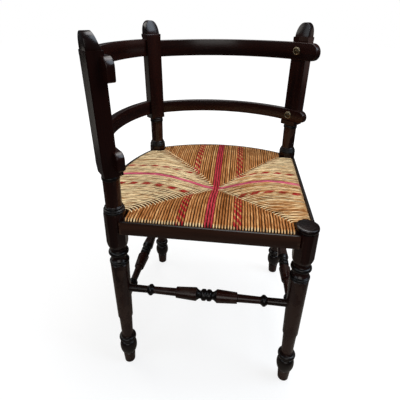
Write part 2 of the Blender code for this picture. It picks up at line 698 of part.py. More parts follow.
def rush_shape():
    shape = bmesh.new()
    rim = rush_rim()
    top_middle = shape.verts.new((0.0, 0.0, rush_height(0.0, 0.0)))
    foot_middle = shape.verts.new((0.0, 0.0, rush_depth(0.0)))
    tops, feet = [], []
    for u in RUSH_STEPS_OUT[1:]:
        tops.append([shape.verts.new((*(point * u), rush_height(u, t))) for point, t in rim])
        feet.append([shape.verts.new((*(point * u), rush_depth(u))) for point, t in rim])
    count = len(rim)
    for i in range(count):
        j = (i + 1) % count
        shape.faces.new((top_middle, tops[0][i], tops[0][j]))
        shape.faces.new((foot_middle, feet[0][j], feet[0][i]))
        shape.faces.new((tops[-1][i], feet[-1][i], feet[-1][j], tops[-1][j]))
        for rows, order in ((tops, 1), (feet, -1)):
            for inner, outer in zip(rows, rows[1:]):
                shape.faces.new((inner[i], outer[i], outer[j], inner[j])[::order])
    return shape


def build():
    clear_scene()
    rails = {
        ("upper", "left"): BackRail(-1, UPPER_RAIL_HEIGHT, UPPER_RAIL_LEFT_Z, UPPER_RAIL_BACK_DROP,
                                    UPPER_RAIL_OVERHANG_LEFT, RAIL_TIP_ROUND_LEFT),
        ("upper", "right"): BackRail(1, UPPER_RAIL_HEIGHT, UPPER_RAIL_RIGHT_Z, UPPER_RAIL_BACK_DROP,
                                     UPPER_RAIL_OVERHANG_RIGHT, RAIL_TIP_ROUND_RIGHT),
        ("lower", "left"): BackRail(-1, LOWER_RAIL_HEIGHT_LEFT, LOWER_RAIL_LEFT_Z, LOWER_RAIL_BACK_DROP,
                                    LOWER_RAIL_OVERHANG_LEFT, RAIL_TIP_ROUND_LEFT),
        ("lower", "right"): BackRail(1, LOWER_RAIL_HEIGHT_RIGHT, LOWER_RAIL_RIGHT_Z, LOWER_RAIL_BACK_DROP,
                                     LOWER_RAIL_OVERHANG_RIGHT, RAIL_TIP_ROUND_RIGHT),
    }
    turns = {hand: (rails["upper", hand].turn + rails["lower", hand].turn) / 2 for hand in ("left", "right")}
    ledges = {hand: rails["lower", hand].foot_z() - 2 * CLEARANCE for hand in ("left", "right")}
    legs = {
        "left": add_leg("left_post", "left", post_rings(-turns["left"], ledges["left"])),
        "right": add_leg("right_post", "right", post_rings(turns["right"], ledges["right"])),
        "back": add_leg("back_post", "back", post_rings(0.0)),
        "front": add_leg("front_leg", "front", disc_rings()),
    }

    # Back rails, each held to its side post by a brass cup and screw
    for (level, hand), rail in rails.items():
        piece = add_object(f"{level}_rail_{hand}", rail.shape(0.0), DARK_WOOD)
        room = add_cutter(f"room_for_{level}_rail_{hand}", rail.shape(CLEARANCE))
        cut(legs["back"], room)
        cut(legs[hand], room)
        place, heading = rail.cup_frame()
        facing_in = Matrix.Rotation(heading, 4, "Z") @ Matrix.Rotation(-math.pi / 2, 4, "Y")
        cup = add_object(f"{level}_cup_{hand}", cup_shape(), BRASS)
        screw = add_object(f"{level}_screw_{hand}", screw_shape(0.0), BRASS)
        hole = add_cutter(f"hole_for_{level}_screw_{hand}", screw_shape(CLEARANCE))
        for part in (cup, screw, hole):
            part.matrix_world = Matrix.Translation(place) @ facing_in
        cut(piece, hole)
        cut(legs[hand], hole)

    # Seat: rails inside the rush, facings outside it
    rush = add_object("rush_seat", rush_shape(), RUSH)
    for corner in LEGS:
        cut(rush, block_cutter(corner))
    for name, corners in SIDES.items():
        add_object("facing_" + name, facing(name), DARK_WOOD)
        add_object("seat_rail_" + name, seat_rail(name, 0.0), DARK_WOOD)
        room = add_cutter("room_for_seat_rail_" + name, seat_rail(name, CLEARANCE))
        cut(rush, room)
        for corner in corners:
            cut(legs[corner], room)

    # Stretchers, high and low by turns so that their tenons pass each other
    profiles = stretcher_turning()
    for name, corners in SIDES.items():
        z = STRETCHER_Z[name]
        stations = profiles[z]
        piece = add_object("stretcher_" + name, lathe(stations, STRETCHER_SIDES), DARK_WOOD)
        end = stations[-1][0] + CLEARANCE
        socket = STRETCHER_ROD_RADIUS + CLEARANCE
        bar = lathe([(-end, socket), (end, socket)], STRETCHER_SIDES)
        room = add_cutter("room_for_stretcher_" + name, bar)
        for part in (piece, room):
            place_along(part, name, z)
        for corner in corners:
            cut(legs[corner], room)


build()
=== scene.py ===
"""Looks of the corner fireside chair: dark turned wood, brass screw cups and a seat of natural and dyed rush.

Metres, +Z up, the floor at z = 0. The front leg is at -Y, the back post at +Y, the side posts at -X and +X.
"""

import math
import random

import bmesh
import bpy
from mathutils import Matrix, Vector


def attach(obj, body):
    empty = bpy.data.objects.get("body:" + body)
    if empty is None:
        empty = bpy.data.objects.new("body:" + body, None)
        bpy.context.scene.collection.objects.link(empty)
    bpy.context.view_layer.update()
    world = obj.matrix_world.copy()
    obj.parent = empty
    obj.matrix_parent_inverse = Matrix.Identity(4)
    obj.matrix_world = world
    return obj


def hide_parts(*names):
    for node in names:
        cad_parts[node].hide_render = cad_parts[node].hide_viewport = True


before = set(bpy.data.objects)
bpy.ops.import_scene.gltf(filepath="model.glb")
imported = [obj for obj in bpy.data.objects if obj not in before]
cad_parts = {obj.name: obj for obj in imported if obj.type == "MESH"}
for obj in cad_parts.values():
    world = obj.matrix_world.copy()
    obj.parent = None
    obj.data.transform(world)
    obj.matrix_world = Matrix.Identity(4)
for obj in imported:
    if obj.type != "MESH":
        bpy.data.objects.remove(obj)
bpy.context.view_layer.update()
chance = random.Random(11)

# Plan of the chair
LEG_SPACING = 0.382
HALF_SPACING = LEG_SPACING / 2
LEG_DISTANCE = LEG_SPACING / math.sqrt(2)
SEAT_BOW = 0.042
LEGS = {
    "right": Vector((LEG_DISTANCE, 0.0)),
    "back": Vector((0.0, LEG_DISTANCE)),
    "left": Vector((-LEG_DISTANCE, 0.0)),
    "front": Vector((0.0, -LEG_DISTANCE)),
}
OUTWARD_ANGLE = {"right": 0.0, "back": math.pi / 2, "left": math.pi, "front": -math.pi / 2}
SIDES = {
    "front_left": ("left", "front"),
    "front_right": ("front", "right"),
    "back_right": ("right", "back"),
    "back_left": ("back", "left"),
}

# Heights
BLOCK_TAPER_Z = 0.3505
BLOCK_Z = 0.3695
BLOCK_TOP_Z = 0.4275
POST_BLOCK_TOP_Z = 0.4385
POST_FOOT_Z = 0.523
SHOULDER_Z = 0.7485
STRETCHER_Z = {"front_left": 0.2375, "front_right": 0.1895, "back_right": 0.2375, "back_left": 0.1895}

# Legs: each block is turned round first, and its flats are cut afterwards
BLOCK_HALF_WIDTH = 0.0208
BLOCK_RADIUS = 0.0227
BLOCK_SHOULDER = 0.019
BLOCK_EXTRA_RING = 0.02
BLOCK_TOP_RADIUS = 0.0217
BLOCK_TOP_EDGE = 0.0012
DISC_RADIUS = 0.0228
DISC_ROUND = 0.0022
DISC_HALF_EDGE = 0.0049
DISC_HEIGHT = 0.0101
DISC_FLAT_RADIUS = 0.0165
DISC_STEPS = 6
TURNED_SIDES = 64

# Square parts of the posts
POST_DEPTH = 0.03
POST_WIDTH = 0.042
POST_SET_BACK = 0.0045
POST_LEAN = math.tan(math.radians(1.6))
POST_CHAMFER = 0.0016
BACK_POST_CHAMFER = 0.0045
PLAIN_CORNER = 0.0006
FULL_CHAMFER = 1.0
POST_CHAMFER_STOP = 0.006
POST_CHAMFER_RUN_OUT = 0.005
SIDE_POST_FOOT_INSIDE = 0.019
SIDE_POST_CUT_LENGTH = 0.018
SIDE_POST_CUT_DEPTH = 0.0015
LEDGE_BELOW_RAIL = 0.0004
FINIAL_LENGTHS = {"left": 0.03, "back": 0.033, "right": 0.034}
FINIAL_STRAIGHT = 0.004
FINIAL_FULLNESS = 0.86
FINIAL_SHOULDER = 0.0025
FINIAL_INNER_SLOPE = 0.01
FINIAL_SUNK = 0.002
FINIAL_STEPS = 28
ARRIS = 0.0008

# How dark the stain is, from 0 for brown to 1 for black, and how rubbed a bent edge is
DARKER_POSTS = {"left": 0.55, "back": 0.25, "right": 0.0}
DARKER_FINIAL = 0.75
DARKER_RAIL = 0.35
DARKER_BLOCK = 0.22
DARKER_DISC = 0.85
# The facing's black top edge is painted shade under the rush's rim
FACING_TOP_SHADE = 1.0
WOOD_WEAR_FROM = 0.75
BRASS_WEAR_FROM = 0.5
WEAR_RANGE = 0.9
PLANK_SCATTER = 3
SHARP_DEGREES = 38.0
GRAIN_ALONG_Y = Matrix(((1, 0, 0), (0, 0, 1), (0, 1, 0)))

# Back rails, with the rounding of the free end's upper and lower corner as a share of the height
RAIL_THICKNESS = 0.016
RAIL_ROUND = 0.0015
RAIL_ROUND_DEGREES = 50.0
RAIL_ROUND_SEGMENTS = 3
RAIL_BEND_RADIUS = 0.318
RAIL_BEHIND_BACK_AXIS = 0.004
RAIL_INSIDE_SIDE_AXIS = 0.0145
RAIL_TENON = 0.01
RAIL_SLICES = 72
TIP_ROUNDS = {"left": (0.4, 0.1), "right": (0.52, 0.46)}
TIP_SEGMENTS = 12
RAILS = {
    ("upper", "left"): {"height": 0.042, "z": 0.72, "drop": 0.005, "overhang": 0.019},
    ("upper", "right"): {"height": 0.042, "z": 0.7155, "drop": 0.005, "overhang": 0.039},
    ("lower", "left"): {"height": 0.036, "z": 0.555, "drop": 0.001, "overhang": 0.017},
    ("lower", "right"): {"height": 0.031, "z": 0.55, "drop": 0.001, "overhang": 0.028},
}

# Brass, drawn as (radius, height) from the rail outwards
CUP_STAND_OFF = 0.0008
CUP_OUTLINE = (
    (0.005, 0.0), (0.0098, 0.0), (0.01, 0.0004), (0.0099, 0.0011), (0.0095, 0.0017),
    (0.0089, 0.0019), (0.0086, 0.0023), (0.0083, 0.0031), (0.0077, 0.0034), (0.0071, 0.003),
    (0.0067, 0.0018), (0.006, 0.0011), (0.0051, 0.001),
)
SCREW_SHANK = ((0.0004, -0.028), (0.002, -0.022), (0.002, 0.0009))
SCREW_HEAD_RADIUS = 0.0047
SCREW_HEAD_FOOT = 0.0013
SCREW_HEAD_DOME = 0.0026
SCREW_HEAD_STEPS = 8
BRASS_SIDES = 32

# Stretchers
STRETCHER_SIDES = 40
STRETCHER_TENON = 0.011
STRETCHER_TURNINGS = 0.132
STRETCHER_LEG_RADIUS = 0.0185

# Seat
FACING_THICKNESS = 0.006
FACING_HEIGHT = 0.03
FACING_TOP_Z = 0.4255
FACING_END = 0.1776
FACING_EDGE = 0.0011
FACING_DARK_EDGE = 0.0009
FACING_SLICES = 40
RUSH_HALF_LENGTH = HALF_SPACING - BLOCK_HALF_WIDTH / 2
RUSH_OUTSIDE = 0.0063
RUSH_RIM_Z = 0.4295
RUSH_EDGE_FOOT_Z = 0.3995
RUSH_CENTRE_SAG = 0.027
RUSH_CENTRE_THICKNESS = 0.02
RUSH_FOOT_REACH = 0.85
RUSH_PILLOW = 0.0085
RUSH_PILLOW_OUTWARD = 1.35
RUSH_PILLOW_FROM = 0.3
RUSH_CREST = 0.9
SHARE_TRIES = 6
PACKING_SHARES = (0.02, 0.2, 0.4, 0.6, 0.76, 0.89)
PACKING_BELOW_TOP = 0.0052
PACKING_ABOVE_FOOT = 0.0045
PACKING_STEPS = 12

# Strands, and the rings of each on its way over the rim: how far in and how far below the rim's top
STRAND_RADIUS = 0.0029
STRAND_PITCH = 0.0057
STRANDS_EACH_WAY = 29
STRAND_SIDES = 5
STRAND_RINGS = 14
UNEVENNESS = 0.0004
STRAND_THICKNESSES = (0.92, 1.06)
BEHIND_FACING_Z = (0.415, 0.4222)
RIM_RINGS = ((0.001, 0.0024), (0.0044, 0.0002))
RIM_END = 0.0085
NEARLY_PARALLEL = 0.95

# Strands at the mitre: the darker rush dives (how far short of the mitre, and how deep), and the paler
# rush hooks round (shares of the hook's length and bend, and the lift)
CENTRE_BAND = 0.0085
DIVE_BEND = 0.005
DIVE_RINGS = ((0.003, 0.0006), (0.0012, 0.003), (-0.0006, 0.0075))
HOOK_LENGTH = 0.019
HOOK_BEND = 0.019
HOOK_FULL_FROM = 0.04
HOOK_SHARES = {"back_left": (1.0, 1.0), "front_right": (0.75, 0.3)}
HOOK_RINGS = ((0.1, 0.54, 0.0008), (0.34, 0.18, 0.0014), (0.66, -0.06, 0.0016), (1.0, -0.2, -0.0026))

# Strands under the seat: rings round the rim, then the way in and up into the mitre
UNDER_RIM_Z = (0.4145, 0.4075)
UNDER_RIM_INWARDS = 0.003
UNDER_RIM_RISE = 0.001
UNDER_START = 0.008
UNDER_TUCK = 0.004
UNDER_DARKER = 0.16

# How light the rush of each panel is, and how that changes along the panel and from bundle to bundle. The
# paler panels are lighter partly in the straw's own colour and partly as painted sheen
PANEL_TONES = {"front_left": 0.39, "front_right": 0.86, "back_right": 0.48, "back_left": 1.07}
PANEL_DRIFTS = {"front_left": 0.0, "front_right": 0.2, "back_right": 0.0, "back_left": 0.0}
BUNDLE_TONE = 0.03
BUNDLE_WAVES = ((0.9, 0.0), (2.3, 1.0))

# Dyed strands, counted from the middle of a panel
PLAIN = 0.0
RED_PLIED = 0.5
CRIMSON = 1.0
CRIMSON_STRANDS = 1.2

# Both kinds of rush: how uneven, which strands have a red ply, and the painted light and thickness of a
# strand at each ring from behind the facing to the mitre: painted shade behind the facing, a painted glint
# where it rolls over the rim, painted shade where the darker strands dive and a painted highlight on the
# paler hooks
DARKER_RUSH = {
    "spread": 0.05, "flecks": 0.035, "swell": 0.05, "wander": 0.0002, "plied": (8.2, 11.2), "ply_step": 0.37,
    "painted_light": (-0.1, -0.04, 0.48, 0.25, 0.02, 0.0, 0.0, 0.0, 0.0, -0.02, -0.08, -0.16, -0.24, -0.3),
    "slimmer": (0.72, 0.72, 0.76, 0.9, 1.0, 1.0, 1.0, 1.0, 1.0, 1.0, 1.0, 1.0, 0.95, 0.9),
}
PALER_RUSH = {
    "spread": 0.1, "flecks": 0.06, "swell": 0.13, "wander": 0.0006, "plied": (8.2, 9.6), "ply_step": 0.16,
    "painted_light": (-0.04, 0.0, 0.12, 0.04, 0.0, 0.0, 0.0, 0.0, 0.0, 0.1, 0.24, 0.36, 0.42, 0.4),
    "slimmer": (0.9, 0.9, 0.9, 1.0, 1.0, 1.0, 1.0, 1.0, 1.0, 0.9, 0.72, 0.62, 0.56, 0.44),
}

# Tolerances
TINY = 1e-6
CUT_TOLERANCE = 1e-7
BLOCK_TOP_TOLERANCE = 1e-5

# Studio, with the camera fitted to the photograph
FLOOR_RADIUS = 9.0
FLOOR_SIDES = 96
CHAIR_MIDDLE = (0.0, 0.0, 0.45)
CAMERA_PLACE = Matrix((
    (0.787225, 0.252647, -0.562536, -0.509404),
    (-0.616575, 0.33819, -0.71096, -0.579054),
    (0.010622, 0.90653, 0.422007, 0.812304),
    (0.0, 0.0, 0.0, 1.0),
))
CAMERA_LENS = 31.328
CAMERA_SHIFT = (0.0005, -0.0752)


class Shade:
    """A socket in a finish. Sums on it add Math nodes, and node() adds any other node."""

    def __init__(self, tree, socket=None):
        self.tree = tree
        self.socket = socket

    def node(self, kind, settings=None, sockets=None, output=0):
        made = self.tree.nodes.new("ShaderNode" + kind)
        for name, value in (settings or {}).items():
            if name == "stops":
                self.set_stops(made.color_ramp, value)
            else:
                setattr(made, name, value)
        for name, value in (sockets or {}).items():
            socket = made.inputs[name]
            if isinstance(value, Shade):
                self.tree.links.new(value.socket, socket)
            else:
                socket.default_value = (*value, 1.0) if socket.type == "RGBA" else value
        return Shade(self.tree, made.outputs[output])

    @staticmethod
    def set_stops(ramp, stops):
        while len(ramp.elements) < len(stops):
            ramp.elements.new(1.0)
        for element, (place, tint) in zip(ramp.elements, stops):
            element.position = place
            element.color = (*tint, 1.0)

    def maths(self, operation, first, second=0.0):
        return self.node("Math", {"operation": operation}, {0: first, 1: second})

    def __add__(self, other):
        return self.maths("ADD", self, other)

    __radd__ = __add__

    def __sub__(self, other):
        return self.maths("SUBTRACT", self, other)

    def __rsub__(self, other):
        return self.maths("SUBTRACT", other, self)

    def __mul__(self, other):
        return self.maths("MULTIPLY", self, other)

    __rmul__ = __mul__

    def __abs__(self):
        return self.maths("ABSOLUTE", self)

    def clamped(self, low, high):
        """0 below low, 1 above high and smooth between."""
        return self.node("MapRange", {"interpolation_type": "SMOOTHSTEP"},
                         {"Value": self, "From Min": low, "From Max": high})

    def mixed(self, first, second, blend="MIX"):
        """From the first colour to the second as this value goes from 0 to 1."""
        # The Mix node's colour sockets are 6 and 7, and its colour result is 2
        return self.node("Mix", {"data_type": "RGBA", "blend_type": blend}, {0: self, 6: first, 7: second}, 2)

    def object_place(self):
        return self.node("TexCoord", output="Object")

    def noted(self, name, output="Fac"):
        """A number or vector noted on each point."""
        return self.node("Attribute", {"attribute_name": name}, output=output)

    def parts(self):
        """This vector's three numbers."""
        split = self.node("SeparateXYZ", sockets={0: self}).socket.node
        return [Shade(self.tree, output) for output in split.outputs]

    def turned(self, angle):
        """This vector turned about Z."""
        return self.node("VectorRotate", {"rotation_type": "Z_AXIS"}, {"Vector": self, "Angle": angle})

    def noise(self, scale, detail=2.0, roughness=0.5):
        """Noise with a scale for each direction."""
        scaled = self.node("VectorMath", {"operation": "MULTIPLY"}, {0: self, 1: scale})
        sockets = {"Vector": scaled, "Scale": 1.0, "Detail": detail, "Roughness": roughness}
        return self.node("TexNoise", sockets=sockets)

    def bump(self, strength, distance):
        """A normal raised by this height."""
        return self.node("Bump", sockets={"Strength": strength, "Distance": distance, "Height": self})


def new_finish(name, roughness, metallic=0.0, specular=0.5):
    """A material, its shader's sockets and a start for its nodes."""
    material = bpy.data.materials.new(name)
    material.use_nodes = True
    shader = material.node_tree.nodes["Principled BSDF"]
    values = {"Roughness": roughness, "Metallic": metallic, "Specular IOR Level": specular}
    for socket, value in values.items():
        shader.inputs[socket].default_value = value
    return material, shader.inputs, Shade(material.node_tree)


def feed(sockets, **values):
    """Link values to a shader's sockets, with Base_Color for Base Color."""
    for name, value in values.items():
        value.tree.links.new(value.socket, sockets[name.replace("_", " ")])


def stained_wood(name, dark, red, worn):
    """Stained wood: streaked along the grain, blackened on the rings and, as painted shade, along the
    facing's top edge, rubbed on the edges.
    """
    material, sockets, start = new_finish(name, 0.24, specular=0.34)
    grain = start.noted("grain", "Vector")
    black = start.noted("black")
    wear = start.noted("wear")
    figure = grain.noise((30, 30, 2.4), 3.0).clamped(0.34, 0.68)
    streaks = grain.noise((210, 210, 5.0), 4.0, 0.6)
    pores = grain.noise((900, 900, 26), 2.0, 0.7).clamped(0.56, 0.7)
    blotches = grain.noise((42, 42, 22), 3.0, 0.6)
    wood = figure.mixed(dark, red)
    wood = (streaks.clamped(0.35, 0.72) * 0.6).mixed(wood, (0.008, 0.0028, 0.0018), "ADD")
    wood = (pores * 0.5).mixed(wood, (0.0012, 0.0006, 0.0005))
    wood = (black * (0.8 + blotches * 0.2)).mixed(wood, (0.0012, 0.001, 0.0011))
    rubbed = (wear * blotches.clamped(0.42, 0.66)).clamped(0.12, 0.75) * (1 - black * 0.85)
    wood = (rubbed * 0.7).mixed(wood, worn)
    # Wood that is fully black has an even satin sheen
    satin = black.clamped(0.8, 1.0)
    roughness = (0.19 + blotches * 0.07 + pores * 0.08 + rubbed * 0.1) * (1 - satin) + satin * 0.33
    relief = (streaks * 0.4 - pores * 0.5) * (1 - black)
    feed(sockets, Base_Color=wood, Roughness=roughness, Normal=relief.bump(0.1, 0.0004))
    return material


def twisted_rush():
    """Twisted rush: fibrous straw, crimson strands, and strands with one red ply."""
    material, sockets, start = new_finish("twisted_rush", 0.5, specular=0.02)
    place = start.object_place()
    lay = start.noted("lay", "Vector")
    paler = start.noted("paler")
    tone, dye, seed = start.noted("strand", "Vector").parts()
    sideways, _, run = lay.parts()

    # Fibres that wind round the strand, different on each one
    apart = start.node("CombineXYZ", sockets={"X": seed * 31.0, "Y": seed * 17.0, "Z": seed * 3.0})
    slow = lay.turned(run * 70.0 + seed * math.tau)
    fibres = start.node("VectorMath", {"operation": "ADD"}, {0: slow, 1: apart})
    streaks = fibres.noise((1.9, 1.9, 26), 4.0, 0.62)
    splits = fibres.noise((1.6, 1.6, 21), 3.0, 0.6).clamped(0.52, 0.6)
    twist_groove_shade = 1 - abs(slow.parts()[0]).clamped(0.06, 0.3)
    cracks = fibres.noise((2.2, 2.2, 15), 2.0, 0.5).clamped(0.6, 0.66)
    fine = fibres.noise((8, 8, 70), 3.0, 0.6)
    patches = place.noise((30, 30, 30), 3.0, 0.55)
    flank = abs(sideways)
    painted_crown_highlight = 1 - flank.clamped(0.1, 0.6)

    # Straw from brown to cream, with darker splits and cracks, painted shade in each twist groove, a painted
    # highlight along each strand's crown and on the paler hooks, and painted shade on the paler strands'
    # flanks
    # Painted highlight: lighter along each strand's crown
    lightness = tone + (streaks - 0.5) * (0.8 + paler * 0.6) + (patches - 0.5) * 0.45 + painted_crown_highlight * 0.13
    straw = start.node("ValToRGB", {"stops": [
        (0.06, (0.052, 0.014, 0.0035)), (0.3, (0.25, 0.077, 0.016)),
        (0.52, (0.5, 0.205, 0.066)), (0.76, (0.77, 0.425, 0.17)),
        (1.0, (1.0, 0.775, 0.435))]}, {"Fac": lightness})
    straw = (splits * (0.45 + paler * 0.4)).mixed(straw, (0.3, 0.105, 0.026))
    straw = (cracks * (0.3 + paler * 0.45)).mixed(straw, (0.095, 0.034, 0.009))
    straw = (fine.clamped(0.58, 0.74) * 0.4).mixed(straw, (0.15, 0.066, 0.024))
    # Painted shade along the twist groove that winds round each strand
    straw = (twist_groove_shade * 0.4).mixed(straw, (0.085, 0.032, 0.01))
    # Painted shade on the flanks of the paler strands
    straw = (flank.clamped(0.4, 0.9) * paler * 0.72).mixed(straw, (0.29, 0.115, 0.03))
    # Painted highlight: the crowns of the paler strands' hook ends, already lightened in their tones, are
    # mixed towards cream
    hook_end = paler * tone.clamped(1.15, 1.4)
    painted_hook_highlight = hook_end * (1 - flank.clamped(0.2, 0.62))
    straw = (painted_hook_highlight * 0.5).mixed(straw, (1.0, 0.8, 0.49))

    # Dye: one red ply that winds faster than the fibres, or the whole strand
    lit = streaks.clamped(0.34, 0.7)
    crimson = lit.mixed((0.26, 0.012, 0.018), (0.66, 0.072, 0.088))
    # On the paler panels the crimson is pinker, as painted sheen
    rose = lit.mixed((0.54, 0.04, 0.09), (0.84, 0.23, 0.31))
    crimson = paler.mixed(crimson, rose)
    twist = lay.turned(run * (300.0 - paler * 95.0) + seed * math.tau)
    faded = place.noise((70, 70, 70), 3.0, 0.6)
    red_ply = (twist.parts()[0] + (faded - 0.5) * 1.2 + 0.22).clamped(-0.16, 0.1)
    plied = dye.clamped(0.3, 0.4) * (1 - dye.clamped(0.6, 0.7))
    ply = plied * red_ply * (0.8 + faded.clamped(0.36, 0.6) * 0.2)
    reds = lit.mixed((0.24, 0.006, 0.01), (0.54, 0.036, 0.038))
    surface = ply.mixed(straw, reds)
    surface = dye.clamped(0.8, 0.9).mixed(surface, crimson)

    # Painted shade in the gaps between strands, wider at the rim and in places along the paler ones
    at_rim = 1 - run.clamped(0.01, 0.024)
    deep = fibres.noise((0.15, 0.15, 14), 2.0, 0.5).clamped(0.47, 0.58) * paler * (1 - hook_end)
    painted_gap_shade = (flank + at_rim * 0.16 + deep * 0.2).clamped(0.56, 0.93)
    gap_shade_colour = deep.mixed((0.32, 0.115, 0.024), (0.055, 0.019, 0.005))
    gap_shade_colour = paler.mixed((0.042, 0.015, 0.005), gap_shade_colour)
    surface = (painted_gap_shade * (0.96 - paler * 0.04)).mixed(surface, gap_shade_colour)
    relief = streaks + fine * 0.35 - splits * 0.4
    feed(sockets, Base_Color=surface, Roughness=0.34 + fine * 0.22, Normal=relief.bump(0.6, 0.0006))
    return material


def shaded_rush_packing():
    """The stuffing that shows between the strands, coloured dark as painted shade in the gaps."""
    material, sockets, start = new_finish("shaded_rush_packing", 0.9)
    flecks = start.object_place().noise((240, 240, 240), 3.0).clamped(0.35, 0.7)
    feed(sockets, Base_Color=flecks.mixed((0.028, 0.011, 0.003), (0.11, 0.046, 0.013)))
    return material


def shaded_rail_wood():
    """Plain rail wood that the rush is wound on, coloured very dark as painted shade in the gaps at the rim.
    """
    material, sockets, start = new_finish("shaded_rail_wood", 0.7)
    place = start.object_place()
    grain = place.noise((160, 160, 40), 3.0, 0.6).clamped(0.3, 0.7)
    pores = place.noise((620, 620, 300), 2.0, 0.6)
    feed(sockets, Base_Color=grain.mixed((0.022, 0.011, 0.005), (0.055, 0.031, 0.015)),
         Roughness=0.58 + pores * 0.2, Normal=pores.bump(0.3, 0.0004))
    return material


def aged_brass():
    """Pressed brass, tarnished brown in patches and bright where it is rubbed."""
    material, sockets, start = new_finish("aged_brass", 0.36, 1.0)
    tarnish = start.object_place().noise((320, 320, 320), 3.0, 0.6).clamped(0.38, 0.66)
    rubbed = start.noted("wear")
    metal = tarnish.mixed((0.115, 0.086, 0.046), (0.05, 0.035, 0.02))
    metal = (rubbed * 0.8).mixed(metal, (0.4, 0.34, 0.23))
    feed(sockets, Base_Color=metal, Roughness=0.36 + tarnish * 0.24)
    return material


def finished_mesh(name, shape):
    mesh = bpy.data.meshes.new(name)
    shape.to_mesh(mesh)
    shape.free()
    return mesh


def add_object(name, data):
    made = bpy.data.objects.new(name, data)
    bpy.context.scene.collection.objects.link(made)
    return made


def add_piece(name, shape, finish, node):
    """Make a shape a piece that stands for the solid named."""
    mesh = finished_mesh(name, shape)
    mesh.shade_smooth()
    mesh.set_sharp_from_angle(angle=math.radians(SHARP_DEGREES))
    mesh.materials.append(finish)
    piece = add_object(name, mesh)
    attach(piece, "root")
    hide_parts(node)


def bring_in(shape, other):
    """Add another shape to this one."""
    mesh = finished_mesh("part_of_piece", other)
    shape.from_mesh(mesh)
    bpy.data.meshes.remove(mesh)


def face_outwards(shape):
    bmesh.ops.recalc_face_normals(shape, faces=shape.faces)


def close_end(shape):
    """Cap the one open end of a shape."""
    bmesh.ops.contextual_create(shape, geom=[edge for edge in shape.edges if edge.is_boundary])
    face_outwards(shape)


def turn_about_z(shape, turn):
    bmesh.ops.rotate(shape, verts=shape.verts, cent=(0, 0, 0), matrix=Matrix.Rotation(turn, 3, "Z"))


def mark_wear(shape, gentle):
    """Note how sharp each point's edges are, from 0 where they bend gently."""
    wear = shape.verts.layers.float.new("wear")
    shape.normal_update()
    for point in shape.verts:
        bend = sum(max(edge.calc_face_angle_signed(0.0), 0.0) for edge in point.link_edges)
        point[wear] = min(max((bend - gentle) / WEAR_RANGE, 0.0), 1.0)


def mark_wood(shape, blackened, along=Matrix.Identity(3)):
    """Note each point's wear, blackness and place in the plank, with Z along the grain."""
    mark_wear(shape, WOOD_WEAR_FROM)
    grain = shape.verts.layers.float_vector.new("grain")
    black = shape.verts.layers.float.new("black")
    cut_from = Vector([chance.uniform(-PLANK_SCATTER, PLANK_SCATTER) for _ in range(3)])
    for point in shape.verts:
        point[grain] = along @ point.co + cut_from
        point[black] = blackened(point.co.z)


class Outline:
    """Half section of a turned piece, drawn upwards as (radius, height), and how black it is."""

    def __init__(self, foot=0.0):
        self.points = []
        self.height = foot
        self.black = []

    def add(self, radius, height):
        if not self.points or (Vector(self.points[-1]) - Vector((radius, height))).length > TINY:
            self.points.append((radius, height))

    def advance(self, length, black):
        self.black.append((self.height, self.height + length, black))
        self.height += length

    def taper(self, length, start, end, black=0.0, ease=0.0006):
        """A straight run with its two arrises taken off."""
        self.add(start - ease, self.height)
        self.add(start, self.height + ease)
        self.add(end, self.height + length - ease)
        self.add(end - ease, self.height + length)
        self.advance(length, black)

    def shoulder(self, length, start, end, black, steps):
        """A rounded run that ends along the axis."""
        for i in range(steps + 1):
            share = i / steps
            self.add(start + (end - start) * math.sin(share * math.pi / 2), self.height + length * share)
        self.advance(length, black)

    def arch(self, length, start, middle, end, black, shares):
        """A curve between two radii by way of a third, at shares of the length."""
        steps = len(shares) - 1
        for i, share in enumerate(shares):
            side = start if i < steps / 2 else end
            self.add(side + (middle - side) * math.sin(math.pi * i / steps), self.height + length * share)
        self.advance(length, black)

    def bead(self, length, start, radius, end, black=1.0, widest=0.5, steps=12):
        """A round swelling, widest part of the way up."""
        power = math.log(widest) / math.log(0.5)
        shares = [((1 - math.cos(math.pi * i / steps)) / 2) ** power for i in range(steps + 1)]
        self.arch(length, start, radius, end, black, shares)

    def cove(self, length, start, waist, end, black, steps=8):
        """A hollow between two radii."""
        self.arch(length, start, waist, end, black, [i / steps for i in range(steps + 1)])

    def blackened(self, height):
        for low, high, black in self.black:
            if low <= height <= high:
                return black
        return 0.0

    def turned(self, sides):
        """The outline as a solid, turned about Z."""
        shape = bmesh.new()
        closed = [(0.0, self.points[0][1]), *self.points, (0.0, self.points[-1][1])]
        points = [shape.verts.new((radius, 0.0, height)) for radius, height in closed]
        edges = [shape.edges.new(pair) for pair in zip(points, points[1:])]
        bmesh.ops.spin(shape, geom=points + edges, cent=(0, 0, 0), axis=(0, 0, 1), angle=math.tau,
                       steps=sides, use_merge=True)
        bmesh.ops.remove_doubles(shape, verts=shape.verts, dist=TINY)
        face_outwards(shape)
        return shape


